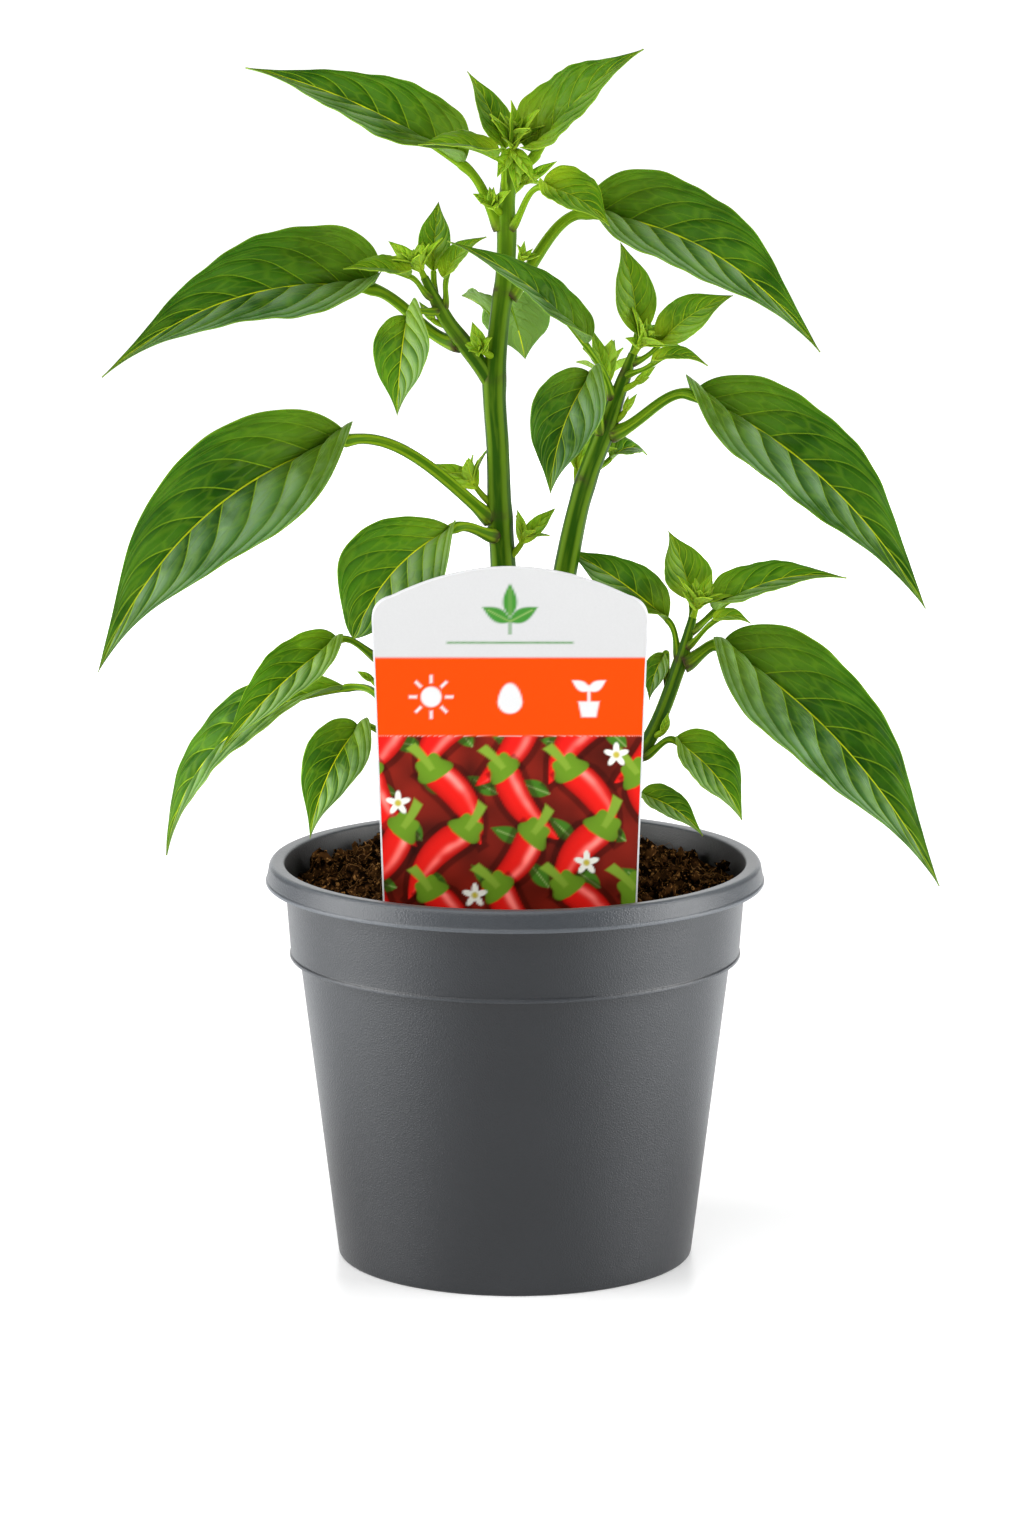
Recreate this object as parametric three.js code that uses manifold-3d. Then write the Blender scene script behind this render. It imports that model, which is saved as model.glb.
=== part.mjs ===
// A young chilli pepper plant growing in a round nursery pot, with a picture label stuck in its soil.
// Millimetres, +Z up. The origin is the centre of the pot's foot ring, on the surface that it stands on.
// +X is to the right of the side that the label faces, and -Y is that side.
import * as THREE from "three";
import { mergeVertices } from "three/addons/utils/BufferGeometryUtils.js";
import Module from "manifold-3d";

const wasm = await Module();
wasm.setup();

// ---------------------------------------------------------------- driving dimensions

const CLEARANCE = 0.3; // air between two pieces that touch
const POT = {
  height: 104,
  rimRadius: 65,
  rimHeight: 5.6,
  rimWidth: 4,
  collarRadius: 60,
  stepHeight: 79,
  stepDepth: 2.3,
  footRadius: 46.4,
  wall: 1.3,
  floorLift: 2.5,
  padRadius: 9,
  holeCount: 8,
  holeRadius: 3.2,
  holeCircle: 34,
  sides: 40,
};
const SOIL = { level: 95.5, lump: 1.7, rings: 7 };
const LABEL = {
  topWidth: 70,
  soilWidth: 64,
  height: 188.4,
  shoulderDrop: 9,
  corner: 5,
  soilLine: 96,
  footWidth: 26,
  footTip: 58,
  thickness: 0.8,
  y: -35,
};
const BLADE_THICKNESS = 0.7;
const COLOUR = {
  pot: 0x4b5156,
  soil: 0x3a261a,
  label: 0xf05a1a,
  stem: 0x4f7d22,
  leaf: 0x2f6b1e,
  young: 0x6a9f2a,
};

// Each stem is a smooth line through [x, y, z, radius], from its lowest point to its tip.
const STEMS = {
  main: [
    [0, 6, 66, 2.2],
    [0, 6, 84, 3.4],
    [-0.8, 6, 104, 3.9],
    [-2.2, 5, 140, 3.5],
    [-3.2, 4, 183, 3.3],
    [-4, 3, 195, 3.2],
    [-4.5, 3, 212, 2.9],
    [-5.4, 3, 229, 3],
    [-4, 4, 246, 2.5],
    [-2.7, 4.6, 256, 2.4],
    [-2.2, 4, 266, 2.1],
    [-2.2, 3, 275, 1.9],
    [-1.2, 2, 287, 1.1],
  ],
  leftUpper: [
    [-5.4, 3, 227, 1.6],
    [-8, 2.4, 232.5, 2.2],
    [-12.4, 1, 239, 2.1],
    [-17.4, -1, 246, 1.9],
    [-20.1, -2, 251, 1.6],
    [-23.2, -3, 257.5, 1],
  ],
  right: [
    [0, 5, 106, 2],
    [4, 2.5, 122, 2.9],
    [9, 0, 154, 3.1],
    [13.2, -2, 183, 3.1],
    [17.6, -3, 203, 2.6],
    [23.4, -4, 219, 2.6],
    [26.2, -4, 227, 2],
    [30.2, -4, 238, 1.1],
  ],
  rightLow: [
    [1, 4, 104, 1.6],
    [9, -1, 111, 2],
    [22, -7, 123, 2],
    [34.4, -8, 138, 1.95],
    [42.4, -8, 158, 1.9],
    [45.8, -7, 170, 1],
  ],
  leftLow: [
    [-1.5, 6, 108, 1.6],
    [-10, 4, 115, 2],
    [-22, 2, 125, 1.9],
    [-30.5, 0, 140, 1.7],
    [-35, 0, 158, 1.3],
    [-36, 0, 166, 0.9],
  ],
};

// Each leaf grows from a stem at a height. Its blade runs from base to tip and is so wide, and is widest at the share
// peak of its length. lift is how far its midrib bows up over the straight line in a view from the front. tilt is the
// angle in degrees by which its upper side turns up from that view, and fold is the angle that each half is raised
// from the flat, which is cup at the very base. rise is the angle at which the stalk leaves the stem, over square.
const FRONT = [0, -0.98, 0.19];
const HABIT = { peak: 0.3, lift: 2, tilt: 35, fold: 20, cup: 88, rise: 40, young: false };
const LEAVES = {
  top_left: { stem: "main", at: 269.5, base: [-13.4, 2, 285.8], tip: [-69.2, 12, 309.8], width: 26, peak: 0.25,
    lift: 3.2, tilt: 49, fold: 24, rise: 60 },
  top_right: { stem: "main", at: 284, base: [5.4, 0.8, 288.9], tip: [32.4, -12, 316.4], width: 26, peak: 0.26,
    lift: 2.1, tilt: 44, young: true },
  top_upright: { stem: "main", at: 281, base: [-3, 5, 289.5], tip: [-12.2, 6, 309.3], width: 9.6, lift: 1,
    tilt: 27, young: true },
  top_small_left: { stem: "main", at: 279, base: [-4.6, -5, 288.2], tip: [-24.6, -17, 292.6], width: 12.5, lift: 1.5,
    tilt: 64, fold: 25, young: true },
  top_small_right: { stem: "main", at: 269.5, base: [7.3, -7, 281], tip: [23.9, -18, 272.2], width: 16.5, lift: 2,
    tilt: 55, young: true },
  upper_right: { stem: "main", at: 252, base: [18.8, 8, 272.8], tip: [77.5, -18, 240.1], width: 31.5, peak: 0.27,
    lift: 7.9, tilt: 45, rise: 55 },
  upper_left: { stem: "leftUpper", at: 240.5, base: [-37.1, 4, 253.8], tip: [-104.6, -25, 234.6], width: 35,
    peak: 0.2, lift: 8.6, tilt: 43, rise: 20 },
  middle_left: { stem: "main", at: 194.5, base: [-43.5, -8, 216.1], tip: [-105.9, -35, 160.3], width: 33,
    peak: 0.3, lift: 10.8, tilt: 12, fold: 14, rise: 45, cup: 120 },
  middle_right: { stem: "right", at: 218, base: [45.5, -8, 227.9], tip: [104, -34, 176.8], width: 29.8, peak: 0.33,
    lift: 7.2, tilt: 41, rise: 35 },
  lower_right: { stem: "rightLow", at: 158.5, base: [53.1, -8, 162.8], tip: [108.7, -30, 104.1], width: 32.5,
    peak: 0.28, lift: 6.4, tilt: 32, rise: 35 },
  lower_left_front: { stem: "leftLow", at: 158, base: [-45.7, 2, 162.5], tip: [-75.9, -18, 136.7], width: 18,
    lift: 2.4, tilt: 52, fold: 22 },
  lower_left_back: { stem: "leftLow", at: 145, base: [-44.3, 16, 147.5], tip: [-92.7, 30, 99.6], width: 17,
    peak: 0.4, lift: 11.5, tilt: 62 },
  lower_left_small: { stem: "leftLow", at: 136, base: [-40.4, -6, 141], tip: [-52.8, -20, 114.6], width: 16,
    lift: 3.4, tilt: 24 },
  behind_label: { stem: "main", at: 190.5, base: [-15.9, -9, 193.6], tip: [-41.3, -22, 167.1], width: 28,
    peak: 0.55, lift: 4.2, tilt: 10, fold: 14, rise: 15 },
  over_stem: { stem: "right", at: 226, base: [17.9, -10, 241.2], tip: [-17.2, -19, 268.6], width: 16, peak: 0.27,
    lift: 3, tilt: 50, fold: 22, rise: 60 },
  centre_hanging: { stem: "right", at: 217.5, base: [19.4, -14, 233.9], tip: [8.9, -24, 204.7], width: 20,
    peak: 0.34, lift: 3.4, tilt: 30, rise: 50 },
  right_upright: { stem: "right", at: 233.5, base: [31.1, -1, 242.5], tip: [26.9, -2, 266.4], width: 11.8, peak: 0.37,
    lift: 1, tilt: 15, young: true },
  right_sideways: { stem: "right", at: 235.5, base: [37, -5, 240.7], tip: [55.5, -10, 253.7], width: 12, peak: 0.36,
    lift: 1.6, tilt: 20, young: true },
  right_little: { stem: "right", at: 232.5, base: [35, -12, 236.4], tip: [48.9, -19, 236.8], width: 6.5, lift: 2.6,
    tilt: 55, young: true },
  right_behind: { stem: "right", at: 206, base: [24.5, 7, 209.2], tip: [34.4, 16, 209], width: 9, lift: 2.4,
    tilt: 50 },
  left_hanging: { stem: "leftUpper", at: 249.2, base: [-27.5, -9, 248], tip: [-30, -18, 223.9], width: 15.5,
    peak: 0.33, lift: 2, tilt: 50, rise: 20 },
  left_upright: { stem: "leftUpper", at: 252.5, base: [-20.9, 1.5, 258.5], tip: [-19.6, 4, 276.2], width: 9,
    peak: 0.4, lift: 0.6, tilt: 5, young: true },
  left_sideways: { stem: "leftUpper", at: 252.5, base: [-26.8, -5.6, 258], tip: [-43.7, -12, 260.7], width: 10.5,
    lift: 1, tilt: 62, fold: 25, young: true },
  left_inner: { stem: "leftUpper", at: 248.8, base: [-17.6, -3, 257.1], tip: [-7.3, -4, 268], width: 8, lift: 2,
    tilt: 45, young: true },
  back_right: { stem: "main", at: 251, base: [-1.6, 15, 249.4], tip: [2.7, 26, 232.8], width: 18.5, peak: 0.36,
    lift: 1, tilt: 140, fold: 10 },
  back_left: { stem: "main", at: 243, base: [-5.4, 12, 245.4], tip: [-13.5, 19, 251.4], width: 10, peak: 0.36,
    lift: 1, tilt: 125, fold: 10 },
  low_upright: { stem: "rightLow", at: 165.5, base: [45.6, 0, 173], tip: [39.7, 5, 190.8], width: 14.5, lift: 1,
    tilt: 38, young: true },
  low_sideways: { stem: "rightLow", at: 166.5, base: [51.6, -5, 171.4], tip: [85.3, -9, 180.7], width: 16,
    peak: 0.25, lift: 4, tilt: 56, fold: 22 },
  low_little: { stem: "rightLow", at: 162.5, base: [51, -13, 170], tip: [60.3, -18, 170.4], width: 6, lift: 1.6,
    tilt: 55, young: true },
  low_inner: { stem: "rightLow", at: 159.5, base: [39.2, -6, 169.3], tip: [12.4, 6, 186.1], width: 15, lift: 1.4,
    tilt: 35, rise: 60 },
  low_right_hanging: { stem: "rightLow", at: 134.5, base: [41.1, -11, 138.6], tip: [58.4, -20, 119.4], width: 17.5,
    peak: 0.35, lift: 2.6, tilt: 57 },
  low_right_bottom: { stem: "rightLow", at: 120, base: [32.6, -13, 124.5], tip: [48.3, -22, 115.7], width: 10,
    lift: 2, tilt: 50 },
  low_inner_little: { stem: "rightLow", at: 152, base: [38.6, -5, 160.1], tip: [34.6, -8, 148.5], width: 7, lift: 1,
    tilt: 30 },
};

// Each shoot is a short green axis from a stem, with leaflets [x, y, z, width] that end at those points, and then a
// bud of even smaller ones by the golden angle. It grows from the stem's tip, or from its side at a height.
const GOLDEN_ANGLE = THREE.MathUtils.degToRad(137.5);
const SHOOTS = {
  top_shoot: { stem: "main", end: [-0.4, 1.6, 290.8], bud: 4, budLength: 5.2,
    leaflets: [[2, -5, 298.4, 4], [4.2, -6.2, 295.4, 2.6], [-3.4, -5, 293.4, 2.6]] },
  left_shoot: { stem: "leftUpper", end: [-24.2, -3.4, 259.8], bud: 4, budLength: 5.5,
    leaflets: [[-32.4, -0.5, 266.5, 4.4], [-26.4, -7, 264.4, 3]] },
  right_shoot: { stem: "right", end: [32.2, -4.6, 240.4], bud: 4, budLength: 6,
    leaflets: [[33.6, -7.8, 245.6, 3.4], [28.2, -8, 242.6, 3]] },
  low_shoot: { stem: "rightLow", end: [46.8, -7.6, 173.2], bud: 4, budLength: 7,
    leaflets: [[50.4, -8, 181.4, 4], [43, -10, 177.4, 3.4]] },
  low_left_shoot: { stem: "leftLow", end: [-37, 0.2, 169.6], bud: 3, budLength: 5,
    leaflets: [[-39, -3, 175, 3.4], [-34, 2, 176, 3]] },
  fork_shoot: { stem: "main", at: 236.5, way: [-0.45, -0.8, 0.3], end: [-8.6, -1.8, 238.6], bud: 2, budLength: 4.5,
    leaflets: [[-11, -2.4, 246, 4.4], [-7, -3, 242.4, 2.8]] },
  middle_left_shoot: { stem: "main", at: 198.5, way: [-0.9, -0.2, 0.3], end: [-11, 3, 204], bud: 2, budLength: 4,
    leaflets: [[-21, 2, 208.6, 6], [-9.8, 4, 209.4, 2.4]] },
  middle_right_shoot: { stem: "main", at: 184.5, way: [0.9, -0.4, 0.3], end: [2.4, 2.2, 189.5], bud: 0,
    leaflets: [[10.4, 3, 197, 4.8], [0.6, 2.6, 196.6, 3.6]] },
  right_axil_shoot: { stem: "right", at: 203, way: [-0.7, 0.6, 0.4], end: [16, 3.4, 208.6], bud: 2, budLength: 6,
    leaflets: [[14.4, 6, 220, 4.6], [20.4, 6, 219, 4.4], [11.6, 3, 216, 3]] },
  right_twig: { stem: "right", at: 222.5, way: [-0.6, 0.75, 0.3], end: [23.2, 3, 231.5], bud: 3, budLength: 5.5,
    leaflets: [[19.4, 1, 244, 5], [25.6, 6, 240.4, 4.4]] },
  right_node_bud: { stem: "right", at: 221.4, way: [0.9, -0.2, 0.4], end: [28.4, -5.2, 224], bud: 0,
    leaflets: [[31.2, -6, 228, 2], [29, -5.4, 227.4, 1.6]] },
  right_side_bud: { stem: "right", at: 229.2, way: [0.75, -0.65, 0.2], end: [31.5, -6.3, 231.4], bud: 0,
    leaflets: [[36, -5.6, 235, 2.2], [34.4, -6.2, 232.2, 2]] },
  top_right_bud: { stem: "main", at: 278.5, way: [0.8, 0.6, 0.3], end: [2.4, 4, 281.4], bud: 0,
    leaflets: [[10.7, 5, 286.4, 2.4], [4.4, 5, 286, 2]] },
  top_left_bud: { stem: "main", at: 273.5, way: [-0.8, -0.6, 0.2], end: [-5.4, -0.8, 275.6], bud: 0,
    leaflets: [[-6.6, -2, 280.6, 3], [-4.6, -3, 278.8, 2.2]] },
  upper_right_bud: { stem: "main", at: 258.5, way: [0.8, -0.5, 0.2], end: [1.8, 0.6, 262], bud: 0,
    leaflets: [[2.4, -0.4, 266.6, 2.2], [4.6, 0, 264.6, 1.8]] },
  left_petiole_bud: { stem: "leftUpper", at: 245.5, way: [-0.9, 0.1, 0.2], end: [-21.4, -1.4, 246.7], bud: 0,
    leaflets: [[-24.6, -2, 251.2, 2.4]] },
  low_left_bud: { stem: "leftLow", at: 150, way: [-0.8, 0.3, 0.4], end: [-37.4, 2, 152.6], bud: 0,
    leaflets: [[-41, 3, 154.2, 2.2]] },
  low_right_bud: { stem: "rightLow", at: 140, way: [0.7, -0.6, 0.2], end: [38.6, -11.4, 141.4], bud: 0,
    leaflets: [[39.4, -12.4, 146, 2.6]] },
};

// ---------------------------------------------------------------- solids

// A closed three.js geometry as a solid. Only its positions count, and shared corners are merged first.
function solidFrom(geometry) {
  const bare = geometry.index ? geometry.toNonIndexed() : geometry.clone();
  bare.deleteAttribute("normal");
  bare.deleteAttribute("uv");
  const merged = mergeVertices(bare, 1e-4);
  const corners = merged.index.array;
  const kept = [];
  for (let i = 0; i < corners.length; i += 3) {
    const [a, b, c] = [corners[i], corners[i + 1], corners[i + 2]];
    if (a !== b && b !== c && c !== a) kept.push(a, b, c);
  }
  return new wasm.Manifold(new wasm.Mesh({
    numProp: 3,
    vertProperties: merged.attributes.position.array,
    triVerts: new Uint32Array(kept),
  }));
}

// The largest connected piece of a solid, as a three.js geometry.
function geometryFrom(solid) {
  const pieces = solid.decompose();
  pieces.sort((a, b) => b.volume() - a.volume());
  const mesh = pieces[0].getMesh();
  const geometry = new THREE.BufferGeometry();
  geometry.setAttribute("position", new THREE.BufferAttribute(new Float32Array(mesh.vertProperties), 3));
  geometry.setIndex(new THREE.BufferAttribute(new Uint32Array(mesh.triVerts), 1));
  geometry.computeVertexNormals();
  return geometry;
}

// Triangles on a grid of points, rows by columns, with the same diagonal everywhere.
function gridTriangles(rows, columns, index, flip) {
  const triangles = [];
  for (let i = 0; i < rows - 1; i++) {
    for (let j = 0; j < columns - 1; j++) {
      const [a, b] = [index(i, j), index(i, j + 1)];
      const [c, d] = [index(i + 1, j), index(i + 1, j + 1)];
      triangles.push(...(flip ? [a, b, c, b, d, c] : [a, c, b, b, c, d]));
    }
  }
  return triangles;
}

function bufferGeometry(points, triangles) {
  const geometry = new THREE.BufferGeometry().setFromPoints(points);
  geometry.setIndex(triangles);
  return geometry;
}

// A closed tube with its own radius at each point. Its first section is square to way, where one is given, and its
// section turns as little as it can along the line.
function taperedTube(points, radii, sides, way) {
  const ring = [];
  let across = new THREE.Vector3(0.3, 0.2, 1);
  points.forEach((point, i) => {
    const before = points[Math.max(i - 1, 0)];
    const after = points[Math.min(i + 1, points.length - 1)];
    const along = i === 0 && way ? way.clone() : after.clone().sub(before).normalize();
    if (i === 0 && Math.abs(along.dot(across.clone().normalize())) > 0.9) across.set(1, 0, 0);
    across = across.sub(along.clone().multiplyScalar(across.dot(along))).normalize();
    const other = new THREE.Vector3().crossVectors(along, across);
    for (let j = 0; j < sides; j++) {
      const angle = (2 * Math.PI * j) / sides;
      ring.push(point.clone()
        .addScaledVector(across, radii[i] * Math.cos(angle))
        .addScaledVector(other, radii[i] * Math.sin(angle)));
    }
  });
  const triangles = gridTriangles(points.length, sides + 1, (i, j) => i * sides + (j % sides), true);
  const last = (points.length - 1) * sides;
  for (let j = 1; j < sides - 1; j++) {
    triangles.push(0, j + 1, j);
    triangles.push(last, last + j, last + j + 1);
  }
  return bufferGeometry(ring, triangles);
}

const vector = (xyz) => new THREE.Vector3(xyz[0], xyz[1], xyz[2]);

// The part of a vector that is square to a unit direction, at unit length.
function squareTo(direction, v) {
  return v.clone().addScaledVector(direction, -v.dot(direction)).normalize();
}

// ---------------------------------------------------------------- pot, soil and label

// Half of the pot's section, [radius, height], from the axis under the floor round the rim to the axis inside.
function potProfile() {
  const { height, rimRadius, rimHeight, rimWidth, collarRadius, stepHeight, stepDepth, footRadius, wall } = POT;
  const underRim = height - rimHeight;
  const stepRadius = collarRadius - 1.4;
  const lip = 1.3;
  return [
    [0, 0],
    [POT.padRadius, 0],
    [POT.padRadius + 0.8, POT.floorLift],
    [footRadius - 4.6, POT.floorLift],
    [footRadius - 3.8, 0],
    [footRadius - 0.4, 0],
    [footRadius, 0.8],
    [stepRadius - stepDepth, stepHeight],
    [stepRadius, stepHeight + 1.6],
    [collarRadius, underRim],
    [rimRadius - 0.8, underRim],
    [rimRadius, underRim + lip],
    [rimRadius, height - lip],
    [rimRadius - lip, height],
    [rimRadius - rimWidth + lip, height],
    [rimRadius - rimWidth, height - lip],
    [collarRadius - wall, underRim - 1],
    [stepRadius - wall, stepHeight + 2],
    [stepRadius - stepDepth - wall, stepHeight],
    [footRadius - wall, POT.floorLift + wall],
    [0, POT.floorLift + wall],
  ];
}

function latheSolid(profile, sides) {
  return solidFrom(new THREE.LatheGeometry(profile.map(([r, z]) => new THREE.Vector2(r, z)), sides)
    .rotateX(Math.PI / 2));
}

function pot() {
  let body = latheSolid(potProfile(), POT.sides);
  const drill = new THREE.CylinderGeometry(POT.holeRadius, POT.holeRadius, 12, 10).rotateX(Math.PI / 2);
  for (let k = 0; k < POT.holeCount; k++) {
    const angle = (2 * Math.PI * (k + 0.5)) / POT.holeCount;
    const hole = drill.clone().translate(POT.holeCircle * Math.cos(angle), POT.holeCircle * Math.sin(angle), 3);
    body = body.subtract(solidFrom(hole));
  }
  return body;
}

// Clods and hollows: three crossed waves of falling size, in millimetres.
function soilRelief(x, y) {
  const broad = Math.sin(0.16 * x + 0.7) * Math.cos(0.19 * y - 0.4);
  const clods = Math.sin(0.55 * x - 0.3 * y) * Math.cos(0.47 * y + 0.21 * x + 1);
  const crumbs = Math.sin(1.3 * x + 0.9 * y) * Math.sin(1.1 * y - 0.8 * x + 2);
  return SOIL.lump * (0.55 * broad + 0.75 * clods + 0.35 * crumbs);
}

// The soil fills the pot's inside, with a lumpy top. The stem's foot and the label's foot stand in holes in it.
function soil() {
  const inner = potProfile().slice(-5).map(([r, z]) => [Math.max(r - CLEARANCE, 0), z]);
  const topRadius = inner[0][0] - 0.4;
  const { rings } = SOIL;
  const sectors = POT.sides;
  const points = [];
  for (let i = 0; i <= rings; i++) {
    const radius = (topRadius * i) / rings;
    for (let j = 0; j < sectors; j++) {
      const angle = (2 * Math.PI * (j + 0.5 * (i % 2) * (i < rings ? 1 : 0))) / sectors;
      const [x, y] = [radius * Math.cos(angle), radius * Math.sin(angle)];
      points.push(new THREE.Vector3(x, y, SOIL.level + soilRelief(x, y) * (i < rings ? 1 : 0.4)));
    }
  }
  const wall = [
    [inner[1][0], inner[1][1] + 1],
    [inner[2][0], inner[2][1] + 0.4],
    [inner[3][0], inner[3][1] + CLEARANCE],
    [0, inner[3][1] + CLEARANCE],
  ];
  wall.forEach(([radius, z]) => {
    for (let j = 0; j < sectors; j++) {
      const angle = (2 * Math.PI * j) / sectors;
      points.push(new THREE.Vector3(radius * Math.cos(angle), radius * Math.sin(angle), z));
    }
  });
  const rows = rings + 1 + wall.length;
  const triangles = gridTriangles(rows, sectors + 1, (i, j) => i * sectors + (j % sectors), false);
  const plug = solidFrom(bufferGeometry(points, triangles));
  return plug.subtract(stemSolid("main", 8, 1.2 * CLEARANCE)).subtract(labelSolid(CLEARANCE));
}

// The label's outline in width and height: an arched top, sides that close in to the soil, and a pointed foot.
function labelOutline(grow) {
  const { topWidth, soilWidth, height, shoulderDrop, corner, soilLine, footWidth, footTip } = LABEL;
  const top = topWidth / 2 + grow;
  const low = soilWidth / 2 + grow;
  const foot = footWidth / 2 + grow;
  const shoulder = height - shoulderDrop;
  const outline = new THREE.Shape();
  outline.moveTo(top, shoulder - corner);
  outline.quadraticCurveTo(top, shoulder, top - corner, shoulder + 0.22 * corner);
  outline.quadraticCurveTo(0, height + shoulderDrop - 2 + 2 * grow, corner - top, shoulder + 0.22 * corner);
  outline.quadraticCurveTo(-top, shoulder, -top, shoulder - corner);
  outline.lineTo(-low, soilLine - 8);
  outline.lineTo(-foot, soilLine - 20);
  outline.lineTo(-1 - grow, footTip - grow);
  outline.lineTo(1 + grow, footTip - grow);
  outline.lineTo(foot, soilLine - 20);
  outline.lineTo(low, soilLine - 8);
  return outline;
}

function labelSolid(grow) {
  const depth = LABEL.thickness + 2 * grow;
  const card = new THREE.ExtrudeGeometry(labelOutline(grow), { depth, bevelEnabled: false, curveSegments: 6 })
    .rotateX(Math.PI / 2)
    .translate(-1.3, LABEL.y + depth / 2, 0);
  return solidFrom(card);
}

// ---------------------------------------------------------------- stems

const stemLines = Object.fromEntries(Object.entries(STEMS).map(([name, knots]) =>
  [name, new THREE.CatmullRomCurve3(knots.map(vector), false, "centripetal")]));

// The stem's centre, radius and direction at a share of its knots from foot to tip.
function stemPlace(name, share) {
  const knots = STEMS[name];
  const place = share * (knots.length - 1);
  const i = Math.min(Math.floor(place), knots.length - 2);
  const radius = THREE.MathUtils.lerp(knots[i][3], knots[i + 1][3], place - i);
  return { centre: stemLines[name].getPoint(share), radius, along: stemLines[name].getTangent(share) };
}

// The same at a height, found by halving, since every stem climbs all the way.
function stemAtHeight(name, z) {
  let [low, high] = [0, 1];
  for (let step = 0; step < 30; step++) {
    const middle = (low + high) / 2;
    if (stemLines[name].getPoint(middle).z < z) low = middle;
    else high = middle;
  }
  return stemPlace(name, low);
}

function stemSolid(name, sides, grow = 0) {
  const steps = (STEMS[name].length - 1) * 2;
  const places = Array.from({ length: steps + 1 }, (_, i) => stemPlace(name, i / steps));
  places[0].centre.addScaledVector(places[0].along, -grow);
  return solidFrom(taperedTube(places.map((p) => p.centre), places.map((p) => p.radius + grow), sides));
}

// The stems are one grown body: each branch starts inside the stem that it forks from.
function stems() {
  return Object.keys(STEMS)
    .map((name) => stemSolid(name, name === "main" ? 8 : 6))
    .reduce((whole, branch) => whole.add(branch));
}

// ---------------------------------------------------------------- leaves

// The half width of a blade as a share of its widest, at u from its base to its tip: rounded, then drawn out.
const ROUNDNESS = 1.75;
function outlineShare(leaf, u) {
  const shape = (x) => x ** (ROUNDNESS * leaf.peak) * (1 - x) ** (ROUNDNESS * (1 - leaf.peak));
  return shape(u) / shape(leaf.peak);
}

// The midrib is a parabola over the line from base to tip. It droops along the blade's normal by an eighteenth of
// its length, and the rest of its lift is straight up.
function midrib(leaf, u) {
  const chord = leaf.tip.clone().sub(leaf.base);
  const along = chord.clone().normalize();
  const droop = chord.length() / 18;
  const bow = squareTo(along, new THREE.Vector3(0, 0, 1))
    .multiplyScalar(leaf.lift - droop * Math.abs(Math.sin(leaf.tilt)))
    .addScaledVector(squareTo(along, leaf.facing), droop);
  const place = leaf.base.clone().addScaledVector(chord, u).addScaledVector(bow, 4 * u * (1 - u));
  const tangent = chord.addScaledVector(bow, 4 - 8 * u).normalize();
  return { place, tangent };
}

// A point of the blade, at u along the midrib and v from -1 to 1 across. The halves fold up steeply at the base,
// arch back down towards the margin, and the margin waves a little.
const CUP_LENGTH = 0.12;
function bladePoint(leaf, u, v) {
  const { place, tangent } = midrib(leaf, u);
  const side = new THREE.Vector3().crossVectors(tangent, leaf.facing).normalize();
  const normal = new THREE.Vector3().crossVectors(side, tangent);
  const fold = leaf.fold + (leaf.cup - leaf.fold) * Math.exp(-u / CUP_LENGTH);
  const reach = (leaf.width / 2) * outlineShare(leaf, u);
  const wave = 0.05 * Math.sin(5.5 * Math.PI * u + 1.2 * Math.sign(v)) * v * v;
  const rise = Math.abs(v) * Math.sin(fold) - 0.12 * v * v + wave;
  return place.addScaledVector(side, reach * v * Math.cos(fold)).addScaledVector(normal, reach * rise);
}

// The blade's surface normal, from short steps along and across it.
function bladeNormal(leaf, u, v) {
  const step = 0.01;
  const [u0, u1] = [Math.max(u - step, 0.002), Math.min(u + step, 0.998)];
  const alongBlade = bladePoint(leaf, u1, v).sub(bladePoint(leaf, u0, v));
  const middle = THREE.MathUtils.clamp(u, 0.01, 0.99);
  const across = bladePoint(leaf, middle, Math.min(v + 0.05, 1)).sub(bladePoint(leaf, middle, Math.max(v - 0.05, -1)));
  return across.cross(alongBlade).normalize();
}

// A closed blade of even thickness: a grid on each face, cut into triangles alike, and a strip round the margin.
function bladeSolid(leaf, rows, columns) {
  const faces = [1, -1].map((face) => {
    const points = [];
    for (let i = 0; i <= rows; i++) {
      const u = (i / rows) ** 1.15;
      for (let j = 0; j <= columns; j++) {
        const v = i === 0 || i === rows ? 0 : (2 * j) / columns - 1;
        points.push(bladePoint(leaf, u, v).addScaledVector(bladeNormal(leaf, u, v), (face * BLADE_THICKNESS) / 2));
      }
    }
    return points;
  });
  const count = faces[0].length;
  const upper = (i, j) => i * (columns + 1) + j;
  const lower = (i, j) => count + upper(i, j);
  const triangles = gridTriangles(rows + 1, columns + 1, upper, true)
    .concat(gridTriangles(rows + 1, columns + 1, lower, false));
  for (let i = 0; i < rows; i++) {
    triangles.push(upper(i, 0), upper(i + 1, 0), lower(i, 0), upper(i + 1, 0), lower(i + 1, 0), lower(i, 0));
    triangles.push(upper(i, columns), lower(i, columns), upper(i + 1, columns));
    triangles.push(upper(i + 1, columns), lower(i, columns), lower(i + 1, columns));
  }
  return solidFrom(bufferGeometry(faces.flat(), triangles));
}

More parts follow.
